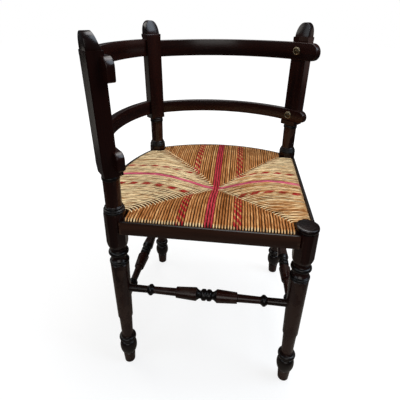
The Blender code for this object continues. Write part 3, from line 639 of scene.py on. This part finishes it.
def draw_leg(block_top):
    """A leg from the floor to the top of its block, still round."""
    leg = Outline()
    # Foot, ball and ring
    leg.taper(0.034, 0.0126, 0.0146, 0.15, 0.0022)
    leg.bead(0.0375, 0.0132, 0.0202, 0.013, 0.9, 0.54)
    leg.taper(0.005, 0.0138, 0.0138, 1.0, 0.0005)
    leg.bead(0.0115, 0.015, 0.0202, 0.015, 0.95)
    leg.taper(0.0025, 0.0152, 0.0146, 0.8, 0.0005)
    # Shaft with a step
    leg.taper(0.0625, 0.0131, 0.015, 0.1)
    leg.taper(0.1575, 0.017, 0.0201, 0.0, 0.0009)
    # Rings, neck and bead under the block
    leg.taper(0.001, 0.0188, 0.0188, 1.0, 0.0002)
    leg.bead(0.0024, 0.0192, 0.0206, 0.019, steps=8)
    leg.taper(0.0006, 0.0186, 0.0186, 1.0, 0.0001)
    leg.bead(0.0046, 0.0188, 0.021, 0.0184)
    leg.taper(0.0014, 0.018, 0.017, 1.0, 0.0003)
    leg.cove(0.0135, 0.017, 0.0134, 0.0165, 0.3)
    leg.bead(0.011, 0.0165, 0.0214, 0.0172)
    leg.cove(0.0055, 0.017, 0.016, 0.0166, 0.35)
    # Block
    leg.shoulder(BLOCK_SHOULDER, 0.0168, BLOCK_RADIUS, DARKER_BLOCK, steps=9)
    leg.add(BLOCK_RADIUS, BLOCK_Z + BLOCK_EXTRA_RING)
    leg.add(BLOCK_RADIUS, block_top - BLOCK_TOP_EDGE)
    leg.add(BLOCK_TOP_RADIUS, block_top)
    leg.advance(block_top - BLOCK_Z, DARKER_BLOCK)
    return leg


def draw_post_leg():
    """A leg that goes on up to the collar under the square post."""
    leg = draw_leg(POST_BLOCK_TOP_Z)
    # Rings at the seat
    leg.bead(0.0046, 0.0206, 0.0219, 0.0206, steps=10)
    leg.taper(0.0006, 0.0202, 0.0202, 1.0, 0.0001)
    leg.bead(0.0034, 0.0203, 0.0214, 0.0196, steps=8)
    leg.cove(0.0018, 0.0192, 0.0184, 0.0186, 1.0, steps=6)
    leg.bead(0.0034, 0.018, 0.019, 0.0172, steps=8)
    leg.taper(0.0017, 0.017, 0.0164, 0.5, 0.0003)
    # Stem, ring and collar
    leg.taper(0.057, 0.0163, 0.0168, 0.0, 0.0004)
    leg.bead(0.008, 0.017, 0.0183, 0.017, steps=10)
    leg.taper(0.0042, 0.0173, 0.0173, 1.0, 0.0004)
    return leg


def draw_front_leg():
    """The front leg, which ends in a flat disc."""
    leg = draw_leg(BLOCK_TOP_Z)
    leg.taper(0.0011, 0.0205, 0.0205, 1.0, 0.0002)
    for i in range(DISC_STEPS + 1):
        angle = -math.pi / 2 + math.pi * i / DISC_STEPS
        radius = DISC_RADIUS - DISC_ROUND + DISC_ROUND * math.cos(angle)
        leg.add(radius, leg.height + DISC_HALF_EDGE * (1 + math.sin(angle)))
    leg.add(DISC_FLAT_RADIUS, leg.height + DISC_HEIGHT)
    leg.advance(DISC_HEIGHT, DARKER_DISC)
    return leg


def leg_shape(outline, block_top):
    """A turned leg with its block cut to eight flats."""
    shape = outline.turned(TURNED_SIDES)
    flat = math.pi / 4
    for point in shape.verts:
        on_block = BLOCK_TAPER_Z < point.co.z < block_top + BLOCK_TOP_TOLERANCE
        if on_block and point.co.xy.length > TINY:
            angle = math.atan2(point.co.y, point.co.x)
            reach = BLOCK_HALF_WIDTH / math.cos((angle + flat / 2) % flat - flat / 2)
            point.co.xy *= min(1.0, reach / point.co.xy.length)
    mark_wood(shape, outline.blackened)
    return shape


def round_edges(shape, edges, width, segments, clamp):
    bmesh.ops.bevel(shape, geom=edges, offset=width, offset_type="OFFSET", segments=segments,
                    profile=0.5, affect="EDGES", clamp_overlap=clamp, material=-1)


def ease_edges(shape, width, degrees=30.0, segments=2):
    """Round every sharp edge a little."""
    least = math.radians(degrees)
    sharp = [edge for edge in shape.edges if edge.is_manifold and edge.calc_face_angle(0.0) > least]
    round_edges(shape, sharp, width, segments, True)


def extrude_ring(shape, ring):
    """Extrude a ring of points and give the new ring in the same order."""
    rim = [edge for edge in shape.edges if edge.verts[0] in ring and edge.verts[1] in ring]
    made = bmesh.ops.extrude_edge_only(shape, edges=rim)["geom"]
    fresh = {point for point in made if isinstance(point, bmesh.types.BMVert)}
    return [next(edge.other_vert(old) for edge in old.link_edges if edge.other_vert(old) in fresh)
            for old in ring]


def loft(rings):
    """A closed shape through rings of places, from the first to the last."""
    shape = bmesh.new()
    ring = bmesh.ops.create_circle(shape, cap_ends=True, segments=len(rings[0]), radius=1.0)["verts"]
    for i, places in enumerate(rings):
        if i:
            ring = extrude_ring(shape, ring)
        for point, place in zip(ring, places):
            point.co = place
    close_end(shape)
    return shape


def square_levels(ledge):
    """Levels up a post's square part: height, chamfer, inner and outer face."""
    inside, outside = -POST_DEPTH / 2, POST_DEPTH / 2
    levels = []
    foot = POST_FOOT_Z
    if ledge:
        foot += SIDE_POST_CUT_LENGTH
        slope = SIDE_POST_CUT_DEPTH / SIDE_POST_CUT_LENGTH
        thick = [(z, -SIDE_POST_FOOT_INSIDE - lean_at(z)) for z in (POST_FOOT_Z, ledge)]
        for z, inner in [*thick, (ledge, inside)]:
            levels.append((z, PLAIN_CORNER, inner, outside - (foot - z) * slope))
    low, high = foot + POST_CHAMFER_STOP, SHOULDER_Z - POST_CHAMFER_STOP
    corners = [(foot, PLAIN_CORNER), (low, PLAIN_CORNER), (low + POST_CHAMFER_RUN_OUT, FULL_CHAMFER),
               (high - POST_CHAMFER_RUN_OUT, FULL_CHAMFER), (high, PLAIN_CORNER), (SHOULDER_Z, PLAIN_CORNER)]
    return levels + [(z, chamfer, inside, outside) for z, chamfer in corners]


def square_post(turn, outer_chamfer, ledge):
    """The square part of a post, +X outwards, with stopped chamfers and a side post's ledge."""
    y = POST_WIDTH / 2
    rings = []
    for z, chamfer, inside, outside in square_levels(ledge):
        outer = min(chamfer, outer_chamfer)
        inner = min(chamfer, POST_CHAMFER)
        corners = [(outside, y - outer), (outside - outer, y), (inside + inner, y), (inside, y - inner)]
        corners += [(across, -along) for across, along in reversed(corners)]
        rings.append([(*corner, z) for corner in corners])
    shape = loft(rings)
    ease_edges(shape, ARRIS)
    turn_about_z(shape, turn)
    return shape


def finial(turn, length):
    """The round-topped plate on a post, whose inner face leans outwards."""
    shape = bmesh.new()
    half_width = POST_WIDTH / 2 - FINIAL_SHOULDER
    rise = length - FINIAL_STRAIGHT
    outer = POST_DEPTH / 2 - ARRIS
    tip = shape.verts.new((outer, half_width, 0.0))
    bmesh.ops.spin(shape, geom=[tip], cent=(outer, 0, 0), axis=(1, 0, 0), angle=math.pi, steps=FINIAL_STEPS)
    for point in shape.verts:
        side = math.copysign((abs(point.co.y) / half_width) ** FINIAL_FULLNESS, point.co.y)
        climb = (abs(point.co.z) / half_width) ** FINIAL_FULLNESS
        point.co = (outer, side * half_width, climb * rise)
    bmesh.ops.translate(shape, vec=(0, 0, SHOULDER_Z + FINIAL_STRAIGHT), verts=shape.verts)
    ends = [point for point in shape.verts if len(point.link_edges) == 1]
    feet = bmesh.ops.extrude_vert_indiv(shape, verts=ends)["verts"]
    for foot in feet:
        foot.co.z = SHOULDER_Z - FINIAL_SUNK
    shape.edges.new(feet)
    face = bmesh.ops.contextual_create(shape, geom=shape.edges[:])["faces"]
    made = bmesh.ops.extrude_face_region(shape, geom=face)["geom"]
    for point in made:
        if isinstance(point, bmesh.types.BMVert):
            climb = max(0.0, point.co.z - SHOULDER_Z) / length
            point.co.x = FINIAL_SHOULDER - POST_DEPTH / 2 + FINIAL_INNER_SLOPE * climb
    face_outwards(shape)
    ease_edges(shape, ARRIS)
    turn_about_z(shape, turn)
    return shape


def lean_at(height):
    """How far out a post's square part stands at a height."""
    return POST_SET_BACK + (height - POST_FOOT_Z) * POST_LEAN


def stand(shape, corner):
    """Put a leg at its corner, +X outwards."""
    place = Matrix.Translation((*LEGS[corner], 0.0)) @ Matrix.Rotation(OUTWARD_ANGLE[corner], 4, "Z")
    bmesh.ops.transform(shape, matrix=place, verts=shape.verts)


def post(corner, turn, ledge):
    """A leg, the leaning square part above it and the finial."""
    shape = leg_shape(draw_post_leg(), POST_BLOCK_TOP_Z)
    square = square_post(turn, BACK_POST_CHAMFER if corner == "back" else POST_CHAMFER, ledge)
    bring_in(square, finial(turn, FINIAL_LENGTHS[corner]))
    stain = DARKER_POSTS[corner]
    finial_z = SHOULDER_Z + ARRIS
    mark_wood(square, lambda height: DARKER_FINIAL if height > finial_z else stain)
    for point in square.verts:
        point.co.x += lean_at(point.co.z)
    bring_in(shape, square)
    stand(shape, corner)
    return shape


def front_leg():
    shape = leg_shape(draw_front_leg(), BLOCK_TOP_Z)
    stand(shape, "front")
    return shape


def plank(thickness, length, height):
    """A straight board: X through it, Y along it from 0, Z up its face."""
    shape = bmesh.new()
    bmesh.ops.create_cube(shape, size=1.0)
    bmesh.ops.translate(shape, vec=(0, 0.5, 0), verts=shape.verts)
    bmesh.ops.scale(shape, vec=(thickness, length, height), verts=shape.verts)
    return shape


def slice_along(shape, length, count):
    """Cut a board across so that it can bend."""
    for i in range(1, count):
        everything = shape.verts[:] + shape.edges[:] + shape.faces[:]
        bmesh.ops.bisect_plane(shape, geom=everything, dist=CUT_TOLERANCE,
                               plane_co=(0, length * i / count, 0), plane_no=(0, 1, 0))


class BackRail:
    """A bowed rail from its tenon in the back post to its free end, mirrored for the left."""

    def __init__(self, size, hand):
        self.size = size
        self.mirror = 1 if hand == "right" else -1
        self.tip_rounds = TIP_ROUNDS[hand]
        axis = LEG_DISTANCE + lean_at(size["z"])
        at_back = Vector((0.0, axis + RAIL_BEHIND_BACK_AXIS))
        at_side = Vector((axis - RAIL_INSIDE_SIDE_AXIS, 0.0))
        chord = at_side - at_back
        outward = Vector((-chord.y, chord.x)).normalized()
        centre_distance = math.sqrt(RAIL_BEND_RADIUS ** 2 - (chord.length / 2) ** 2)
        self.centre = (at_back + at_side) / 2 - outward * centre_distance
        self.turn = math.atan2(-self.centre.y, at_side.x - self.centre.x)
        self.back_angle = math.acos((POST_WIDTH / 2 - RAIL_TENON - self.centre.x) / RAIL_BEND_RADIUS)
        self.tip_angle = math.asin((-(POST_WIDTH / 2 + size["overhang"]) - self.centre.y) / RAIL_BEND_RADIUS)

    def shape(self):
        """A straight rail with a round end, bent to the bow."""
        height = self.size["height"]
        length = (self.back_angle - self.tip_angle) * RAIL_BEND_RADIUS
        shape = plank(RAIL_THICKNESS, length, height)
        for level, share in zip((height / 2, -height / 2), self.tip_rounds):
            corner = [edge for edge in shape.edges
                      if all(point.co.y < TINY and abs(point.co.z - level) < TINY for point in edge.verts)]
            round_edges(shape, corner, height * share, TIP_SEGMENTS, False)
        ease_edges(shape, RAIL_ROUND, RAIL_ROUND_DEGREES, RAIL_ROUND_SEGMENTS)
        slice_along(shape, length, RAIL_SLICES)
        mark_wood(shape, lambda height: DARKER_RAIL, GRAIN_ALONG_Y)
        for point in shape.verts:
            angle = self.tip_angle + point.co.y / RAIL_BEND_RADIUS
            reach = RAIL_BEND_RADIUS + point.co.x
            fall = self.size["drop"] * max(0.0, (angle - self.turn) / (self.back_angle - self.turn))
            point.co = (self.mirror * (self.centre.x + reach * math.cos(angle)),
                        self.centre.y + reach * math.sin(angle), self.size["z"] - fall + point.co.z)
        face_outwards(shape)
        return shape

    def cup_place(self):
        """Where the cup sits on the rail's inner face, Z away from the rail."""
        reach = RAIL_BEND_RADIUS - RAIL_THICKNESS / 2 - CUP_STAND_OFF
        x = self.centre.x + reach * math.cos(self.turn)
        y = self.centre.y + reach * math.sin(self.turn)
        heading = math.atan2(math.sin(self.turn), self.mirror * math.cos(self.turn))
        return (Matrix.Translation((self.mirror * x, y, self.size["z"])) @ Matrix.Rotation(heading, 4, "Z")
                @ Matrix.Rotation(-math.pi / 2, 4, "Y"))


def brass_shape(points, place):
    """A small turned piece of brass, rubbed bright where it stands up."""
    outline = Outline()
    for radius, height in points:
        outline.add(radius, height)
    shape = outline.turned(BRASS_SIDES)
    mark_wear(shape, BRASS_WEAR_FROM)
    bmesh.ops.transform(shape, matrix=place, verts=shape.verts)
    return shape


def screw_outline():
    """A pointed shank and a domed head."""
    points = list(SCREW_SHANK)
    for i in range(SCREW_HEAD_STEPS):
        angle = math.pi / 2 * i / SCREW_HEAD_STEPS
        dome = SCREW_HEAD_FOOT + SCREW_HEAD_DOME * math.sin(angle)
        points.append((SCREW_HEAD_RADIUS * math.cos(angle), dome))
    return points


class Side:
    """One side of the seat: s runs along it from its middle, and out is away from the seat."""

    def __init__(self, name):
        start, end = (LEGS[corner] for corner in SIDES[name])
        self.middle = (start + end) / 2
        self.along = (end - start).normalized()
        self.outward = self.middle.normalized()
        self.bowed = name.startswith("back")
        self.name = name
        half_chord = HALF_SPACING - BLOCK_HALF_WIDTH
        self.radius = (half_chord ** 2 + SEAT_BOW ** 2) / (2 * SEAT_BOW)

    def out_at(self, s, inside):
        if self.bowed:
            bow = math.sqrt((self.radius - inside) ** 2 - s * s)
            return BLOCK_HALF_WIDTH + bow - (self.radius - SEAT_BOW)
        return BLOCK_HALF_WIDTH - inside

    def place(self, s, out, z):
        point = self.middle + self.along * s + self.outward * out
        return Vector((point.x, point.y, z))

    def share(self, s, out):
        """A spot's share of the way from middle to rim, and its place across its panel from -1 to 1."""
        depth = max(HALF_SPACING + out, TINY)
        reach = HALF_SPACING + self.out_at(0.0, RUSH_OUTSIDE)
        for _ in range(SHARE_TRIES):
            across = max(-1.0, min(1.0, s / depth * reach / RUSH_HALF_LENGTH))
            reach = HALF_SPACING + self.out_at(RUSH_HALF_LENGTH * across, RUSH_OUTSIDE)
        return min(depth / reach, 1.0), across


def top_height(side, s, out):
    """Height of the rush's top at a spot given from one side, even past that side's mitre."""
    depth = HALF_SPACING + out
    if abs(s) <= depth:
        return rush_top(*side.share(s, out))
    names = list(SIDES)
    step = 1 if s > 0 else -1
    neighbour = Side(names[(names.index(side.name) + step) % len(names)])
    return rush_top(*neighbour.share(-step * depth, abs(s) - HALF_SPACING))


def facing(name):
    """A thin board along one side of the seat, black along its top edge as painted shade under the rush's
    rim.
    """
    side = Side(name)
    length = 2 * FACING_END
    shape = plank(FACING_THICKNESS, length, FACING_HEIGHT)
    top_edge = FACING_HEIGHT / 2 - FACING_DARK_EDGE
    ease_edges(shape, FACING_EDGE)
    slice_along(shape, length, FACING_SLICES)
    mark_wood(shape, lambda height: FACING_TOP_SHADE if height > top_edge else 0.0, GRAIN_ALONG_Y)
    z = FACING_TOP_Z - FACING_HEIGHT / 2
    for point in shape.verts:
        s = point.co.y - FACING_END
        point.co = side.place(s, side.out_at(s, FACING_THICKNESS / 2 - point.co.x), z + point.co.z)
    face_outwards(shape)
    return shape


def draw_stretcher(length):
    """Half of a stretcher from its end in the leg to its middle."""
    rod = Outline(-length)
    # Plain end and ring
    rod.taper(length - STRETCHER_TURNINGS, 0.0084, 0.0078, 0.7)
    rod.taper(0.0026, 0.009, 0.0098, 1.0, 0.0004)
    rod.bead(0.0088, 0.01, 0.0126, 0.01, steps=10)
    rod.taper(0.0026, 0.0096, 0.0088, 1.0, 0.0004)
    # Thin rod and sleeve
    rod.taper(0.0505, 0.0078, 0.0088, 0.15)
    rod.taper(0.0455, 0.0122, 0.0147, 0.0, 0.0009)
    rod.shoulder(0.0095, 0.0138, 0.0084, 1.0, steps=5)
    # Beads at the middle
    rod.taper(0.0015, 0.0096, 0.0104, 1.0, 0.0004)
    rod.bead(0.01, 0.0106, 0.0129, 0.0112)
    rod.add(0.01, rod.height)
    rod.add(0.01, rod.height + 0.001)
    rod.advance(0.001, 1.0)
    return rod


def stretcher(name):
    """Two mirrored halves in one, laid between two legs."""
    half = draw_stretcher(HALF_SPACING - STRETCHER_LEG_RADIUS + STRETCHER_TENON)
    whole = Outline()
    for radius, height in half.points:
        whole.add(radius, height)
    for radius, height in reversed(half.points):
        whole.add(radius, -height)
    shape = whole.turned(STRETCHER_SIDES)
    mark_wood(shape, lambda height: half.blackened(-abs(height)))
    start, end = (LEGS[corner] for corner in SIDES[name])
    middle = (start + end) / 2
    along = (end - start).to_3d().to_track_quat("Z", "Y").to_matrix().to_4x4()
    place = Matrix.Translation((*middle, STRETCHER_Z[name])) @ along
    bmesh.ops.transform(shape, matrix=place, verts=shape.verts)
    return shape


def rush_top(share, across):
    """Height of the rush's top: sunk in the middle and pillowed over each panel."""
    climb = min(share / RUSH_CREST, 1.0)
    sink = RUSH_CENTRE_SAG * (1 - math.sin(climb * math.pi / 2))
    swell = math.sin(math.pi * climb ** RUSH_PILLOW_OUTWARD)
    pillow = RUSH_PILLOW * (1 - across * across) * swell * min(share / RUSH_PILLOW_FROM, 1.0)
    return RUSH_RIM_Z - sink + pillow


def rush_foot(share):
    """Height of the rush's underside."""
    centre = RUSH_RIM_Z - RUSH_CENTRE_SAG - RUSH_CENTRE_THICKNESS
    climb = min(share / RUSH_FOOT_REACH, 1.0)
    return centre + (RUSH_EDGE_FOOT_Z - centre) * math.sin(climb * math.pi / 2)


def template_strand():
    """A straight strand one unit long, to be laid along each path."""
    shape = bmesh.new()
    bmesh.ops.create_cone(shape, cap_ends=True, segments=STRAND_SIDES, radius1=1.0, radius2=1.0, depth=1.0)
    bmesh.ops.translate(shape, vec=(0, 0, 0.5), verts=shape.verts)
    lengthwise = [edge for edge in shape.edges if abs(edge.verts[0].co.z - edge.verts[1].co.z) > 0.5]
    bmesh.ops.subdivide_edges(shape, edges=lengthwise, cuts=STRAND_RINGS - 2)
    return finished_mesh("template_strand", shape)


def lay_strand(shape, template, path, radii, tones, marks):
    """Lay a strand along a path that has a radius and a tone for each ring."""
    before = len(shape.verts)
    shape.from_mesh(template)
    shape.verts.ensure_lookup_table()
    lay = shape.verts.layers.float_vector["lay"]
    strand = shape.verts.layers.float_vector["strand"]
    paler = shape.verts.layers.float["paler"]
    runs = [0.0]
    for low, high in zip(path, path[1:]):
        runs.append(runs[-1] + (high - low).length)
    rings = []
    for i, place in enumerate(path):
        heading = (path[min(i + 1, len(path) - 1)] - path[max(i - 1, 0)]).normalized()
        sideways = marks["sideways"]
        if abs(sideways.dot(heading)) > NEARLY_PARALLEL:
            sideways = rings[-1][1]
        sideways = (sideways - heading * sideways.dot(heading)).normalized()
        rings.append((place, sideways, heading.cross(sideways)))
    for point in shape.verts[before:]:
        ring = round(point.co.z * (len(path) - 1))
        place, sideways, lift = rings[ring]
        point[lay] = (point.co.x, point.co.y, runs[ring])
        point[strand] = (tones[ring], marks["dye"], marks["seed"])
        point[paler] = marks["paler"]
        point.co = place + (sideways * point.co.x + lift * point.co.y) * radii[ring]


def strand_dye(count, plied):
    """Crimson at a panel's middle, and a red ply some strands away from it."""
    away = abs(count)
    if away < CRIMSON_STRANDS:
        return CRIMSON
    return RED_PLIED if plied[0] < away < plied[1] else PLAIN


def over_path(side, s, radius, rush, hook_share):
    """Path of a strand from behind the facing, over the rail to the mitre, where it hooks or dives."""
    paler = rush is PALER_RUSH
    rim = side.out_at(s, RUSH_OUTSIDE) - radius
    in_band = abs(s) < CENTRE_BAND
    depth = abs(s)
    if in_band:
        depth = CENTRE_BAND if paler else 0.0
    mitre = depth - HALF_SPACING
    path = [side.place(s, rim, z) for z in BEHIND_FACING_Z]
    path += [side.place(s, rim - inwards, RUSH_RIM_Z - radius - below) for inwards, below in RIM_RINGS]
    start = rim - RIM_END
    end = mitre + min(HOOK_BEND * hook_share if paler else DIVE_BEND, (start - mitre) / 2)
    wander = rush["wander"]
    steps = STRAND_RINGS - len(path) - len(HOOK_RINGS if paler else DIVE_RINGS)
    for i in range(steps):
        out = start + (end - start) * i / (steps - 1)
        across = s + chance.uniform(-wander, wander)
        height = rush_top(*side.share(s, out)) - radius
        path.append(side.place(across, out, height + chance.uniform(-UNEVENNESS, UNEVENNESS)))
    if paler:
        hook = math.copysign(HOOK_LENGTH * hook_share * min(1.0, abs(s) / HOOK_FULL_FROM), s)
        for sideways, ahead, lift in HOOK_RINGS:
            across = s + hook * sideways
            out = mitre + (end - mitre) * ahead
            path.append(side.place(across, out, top_height(side, across, out) - radius + lift))
    else:
        low = rush_top(*side.share(s, mitre)) - radius
        dive = 0.0 if in_band else 1.0
        for short, below in DIVE_RINGS:
            path.append(side.place(s, mitre + short, low - below * dive))
    return path


def under_path(side, s, radius):
    """Path of a strand round the rail and back under the seat to the mitre."""
    rim = side.out_at(s, RUSH_OUTSIDE) - radius
    mitre = abs(s) - HALF_SPACING
    path = [side.place(s, rim, z) for z in UNDER_RIM_Z]
    path.append(side.place(s, rim - UNDER_RIM_INWARDS, RUSH_EDGE_FOOT_Z + radius + UNDER_RIM_RISE))
    start = rim - UNDER_START
    steps = STRAND_RINGS - len(path)
    for i in range(steps):
        out = start + (mitre - start) * i / (steps - 1)
        tuck = UNDER_TUCK if i == steps - 1 else 0.0
        path.append(side.place(s, out, rush_foot(side.share(s, out)[0]) + radius + tuck))
    return path


def rush_panel(name, template):
    """One panel's strands on top and below. Those of paler rush lie half a strand over."""
    side = Side(name)
    paler = name in HOOK_SHARES
    rush = PALER_RUSH if paler else DARKER_RUSH
    shape = bmesh.new()
    shape.verts.layers.float_vector.new("lay")
    shape.verts.layers.float_vector.new("strand")
    shape.verts.layers.float.new("paler")
    for index in range(-STRANDS_EACH_WAY, STRANDS_EACH_WAY + 1 - paler):
        count = index + 0.5 * paler
        s = count * STRAND_PITCH + chance.uniform(-UNEVENNESS, UNEVENNESS)
        radius = STRAND_RADIUS * chance.uniform(*STRAND_THICKNESSES)
        bundle = sum(BUNDLE_TONE * math.sin(index * rate + shift) for rate, shift in BUNDLE_WAVES)
        drift = PANEL_DRIFTS[name] * count / STRANDS_EACH_WAY
        tone = PANEL_TONES[name] + drift + chance.gauss(bundle, rush["spread"])
        dye = strand_dye(count, rush["plied"])
        seed = (index * rush["ply_step"]) % 1.0 if dye == RED_PLIED else chance.random()
        marks = {"sideways": side.along.to_3d(), "dye": dye, "seed": seed, "paler": paler}
        hook_share = HOOK_SHARES[name][s > 0] if paler else 1.0
        path = over_path(side, s, radius, rush, hook_share)
        # Each ring's tone carries the painted light listed for its kind of rush
        tones = [tone + more * hook_share + chance.gauss(0.0, rush["flecks"]) for more in rush["painted_light"]]
        swell = rush["swell"]
        radii = [radius * share * chance.uniform(1 - swell, 1 + swell / 2) for share in rush["slimmer"]]
        lay_strand(shape, template, path, radii, tones, marks)
        marks["dye"] = PLAIN
        path = under_path(side, s, radius)
        radii = [radius] * STRAND_RINGS
        lay_strand(shape, template, path, radii, [tone - UNDER_DARKER] * STRAND_RINGS, marks)
    face_outwards(shape)
    return shape


def packing():
    """The stuffing inside the rush, inside the rails."""
    rim = []
    for name in SIDES:
        side = Side(name)
        for i in range(PACKING_STEPS):
            across = 2 * i / PACKING_STEPS - 1
            s = RUSH_HALF_LENGTH * across
            rim.append((side.place(s, side.out_at(s, RUSH_OUTSIDE), 0.0), across))
    top = [[(edge.x * share, edge.y * share, rush_top(share, across) - PACKING_BELOW_TOP)
            for edge, across in rim] for share in PACKING_SHARES]
    foot = [[(edge.x * share, edge.y * share, rush_foot(share) + PACKING_ABOVE_FOOT)
             for edge, _ in rim] for share in reversed(PACKING_SHARES)]
    return loft(top + foot)


def build_rails(hand, wood, brass):
    """One hand's rails with their cups and screws. Gives the turn and the ledge of that hand's post."""
    rails = {level: BackRail(RAILS[level, hand], hand) for level in ("upper", "lower")}
    for level, rail in rails.items():
        add_piece(f"bowed_{level}_rail_{hand}", rail.shape(), wood, f"{level}_rail_{hand}")
        for made, kind, points in (("pressed", "cup", CUP_OUTLINE), ("domed", "screw", screw_outline())):
            shape = brass_shape(points, rail.cup_place())
            node = f"{level}_{kind}_{hand}"
            add_piece(f"{made}_{node}", shape, brass, node)
    turn = (rails["upper"].turn + rails["lower"].turn) / 2 * rails["upper"].mirror
    lower = RAILS["lower", hand]
    return turn, lower["z"] - lower["height"] / 2 - LEDGE_BELOW_RAIL


def build_chair():
    """Every piece of the chair. The hidden seat rails keep their CAD shape and get plain wood, coloured dark
    as painted shade.
    """
    frame_wood = stained_wood("frame_wood", (0.0072, 0.0018, 0.0013), (0.026, 0.006, 0.0038),
                              (0.04, 0.02, 0.014))
    facing_wood = stained_wood("facing_wood", (0.025, 0.01, 0.0062), (0.054, 0.0215, 0.0125),
                               (0.085, 0.044, 0.026))
    brass = aged_brass()
    rush = twisted_rush()
    shaded_hidden_wood = shaded_rail_wood()
    square_parts = {"back": (0.0, None)}
    for hand in ("left", "right"):
        square_parts[hand] = build_rails(hand, frame_wood, brass)
    for corner, (turn, ledge) in square_parts.items():
        shape = post(corner, turn, ledge)
        add_piece(f"turned_{corner}_post", shape, frame_wood, f"{corner}_post")
    add_piece("turned_front_leg", front_leg(), frame_wood, "front_leg")
    template = template_strand()
    for name in SIDES:
        add_piece(f"thin_facing_{name}", facing(name), facing_wood, f"facing_{name}")
        shape = stretcher(name)
        add_piece(f"ringed_stretcher_{name}", shape, frame_wood, f"stretcher_{name}")
        add_piece(f"rush_strands_{name}", rush_panel(name, template), rush, "rush_seat")
        hidden_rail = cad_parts[f"seat_rail_{name}"]
        hidden_rail.data.materials.clear()
        hidden_rail.data.materials.append(shaded_hidden_wood)
    bpy.data.meshes.remove(template)
    add_piece("rush_stuffing", packing(), shaded_rush_packing(), "rush_seat")


def show_camera(start, shown, other, output):
    """Finish with one shader for the camera and another for all other rays."""
    seen = start.node("LightPath", output="Is Camera Ray")
    surface = start.node("MixShader", sockets={0: seen, 1: other, 2: shown})
    start.tree.links.new(surface.socket, start.tree.nodes[output].inputs["Surface"])


def build_floor():
    """A pale floor that fades into white for the camera and throws little light back."""
    shape = bmesh.new()
    bmesh.ops.create_circle(shape, cap_ends=True, segments=FLOOR_SIDES, radius=FLOOR_RADIUS)
    mesh = finished_mesh("studio_floor", shape)
    floor = add_object("studio_floor", mesh)
    material, sockets, start = new_finish("pale_floor", 0.9, specular=0.0)
    away = start.node("VectorMath", {"operation": "LENGTH"}, {0: start.object_place()}, "Value")
    near = start.node("ValToRGB", {"stops": [
        (0.17, (0.36, 0.31, 0.26)), (0.3, (0.11, 0.095, 0.08)),
        (0.7, (0.04, 0.04, 0.04))]}, {"Fac": away * 0.5})
    feed(sockets, Base_Color=near)
    shine = away.clamped(0.55, 1.3).mixed((0.8, 0.8, 0.8), (1, 1, 1))
    glow = start.node("Emission", sockets={"Color": shine})
    lit = start.node("BsdfDiffuse", sockets={"Color": (0.26, 0.26, 0.26)})
    pale = start.node("AddShader", sockets={0: glow, 1: lit})
    plain = Shade(start.tree, start.tree.nodes["Principled BSDF"].outputs[0])
    show_camera(start, pale, plain, "Material Output")
    mesh.materials.append(material)


def build_surround():
    """White for the camera, and a dim room for everything else."""
    world = bpy.data.worlds.new("white_studio")
    bpy.context.scene.world = world
    world.use_nodes = True
    sky = Shade(world.node_tree)
    room = sky.node("Background", sockets={"Color": (0.9, 0.95, 1.0), "Strength": 0.06})
    white = sky.node("Background", sockets={"Color": (1, 1, 1), "Strength": 1.0})
    show_camera(sky, white, room, "World Output")


def add_lamp(name, place, size, power, tint, target=CHAIR_MIDDLE):
    """A soft oblong lamp that the camera doesn't see."""
    lamp = bpy.data.lights.new(name, "AREA")
    lamp.shape = "RECTANGLE"
    lamp.size, lamp.size_y = size
    lamp.energy = power
    lamp.color = tint
    holder = add_object(name, lamp)
    holder.visible_camera = False
    holder.location = place
    holder.rotation_euler = (Vector(target) - Vector(place)).to_track_quat("-Z", "Y").to_euler()


def build_studio():
    """Pale floor, white surround, soft light from above and all round, and the photo's view."""
    build_floor()
    build_surround()
    add_lamp("window_right", (1.12, -1.46, 2.3), (1.3, 1.6), 37.0, (0.74, 0.86, 1.0))
    add_lamp("ceiling", (0.45, -0.05, 2.4), (1.2, 0.9), 24.0, (0.96, 0.97, 1.0))
    add_lamp("window_back_left", (-1.0, 2.1, 2.0), (1.6, 1.4), 18.0, (1.0, 0.97, 0.92))
    add_lamp("window_back_right", (1.1, 1.1, 2.6), (1.2, 1.2), 14.0, (1.0, 0.97, 0.92))
    add_lamp("window_left", (-1.9, 0.2, 2.05), (1.2, 1.4), 10.0, (0.84, 0.93, 1.0))
    add_lamp("pale_door", (2.3, -0.75, 0.75), (1.0, 1.0), 1.25, (1.0, 0.74, 0.68), (0.27, 0.0, 0.65))
    add_lamp("fill_front", (-1.6, -1.7, 1.5), (1.6, 1.4), 15.0, (1.0, 0.97, 0.93))
    add_lamp("pale_wall", (1.75, 1.85, 1.2), (1.6, 0.8), 1.6, (1.0, 0.96, 0.94))
    add_lamp("pale_card", (-0.83, 1.34, 0.28), (0.6, 0.5), 0.4, (1.0, 0.96, 0.86), (-0.27, 0.0, 0.65))
    camera = add_object("photo_view", bpy.data.cameras.new("photo_view"))
    camera.matrix_world = CAMERA_PLACE
    camera.data.lens = CAMERA_LENS
    camera.data.shift_x, camera.data.shift_y = CAMERA_SHIFT
    bpy.context.scene.camera = camera
    bpy.context.scene.view_settings.view_transform = "Standard"


build_chair()
build_studio()
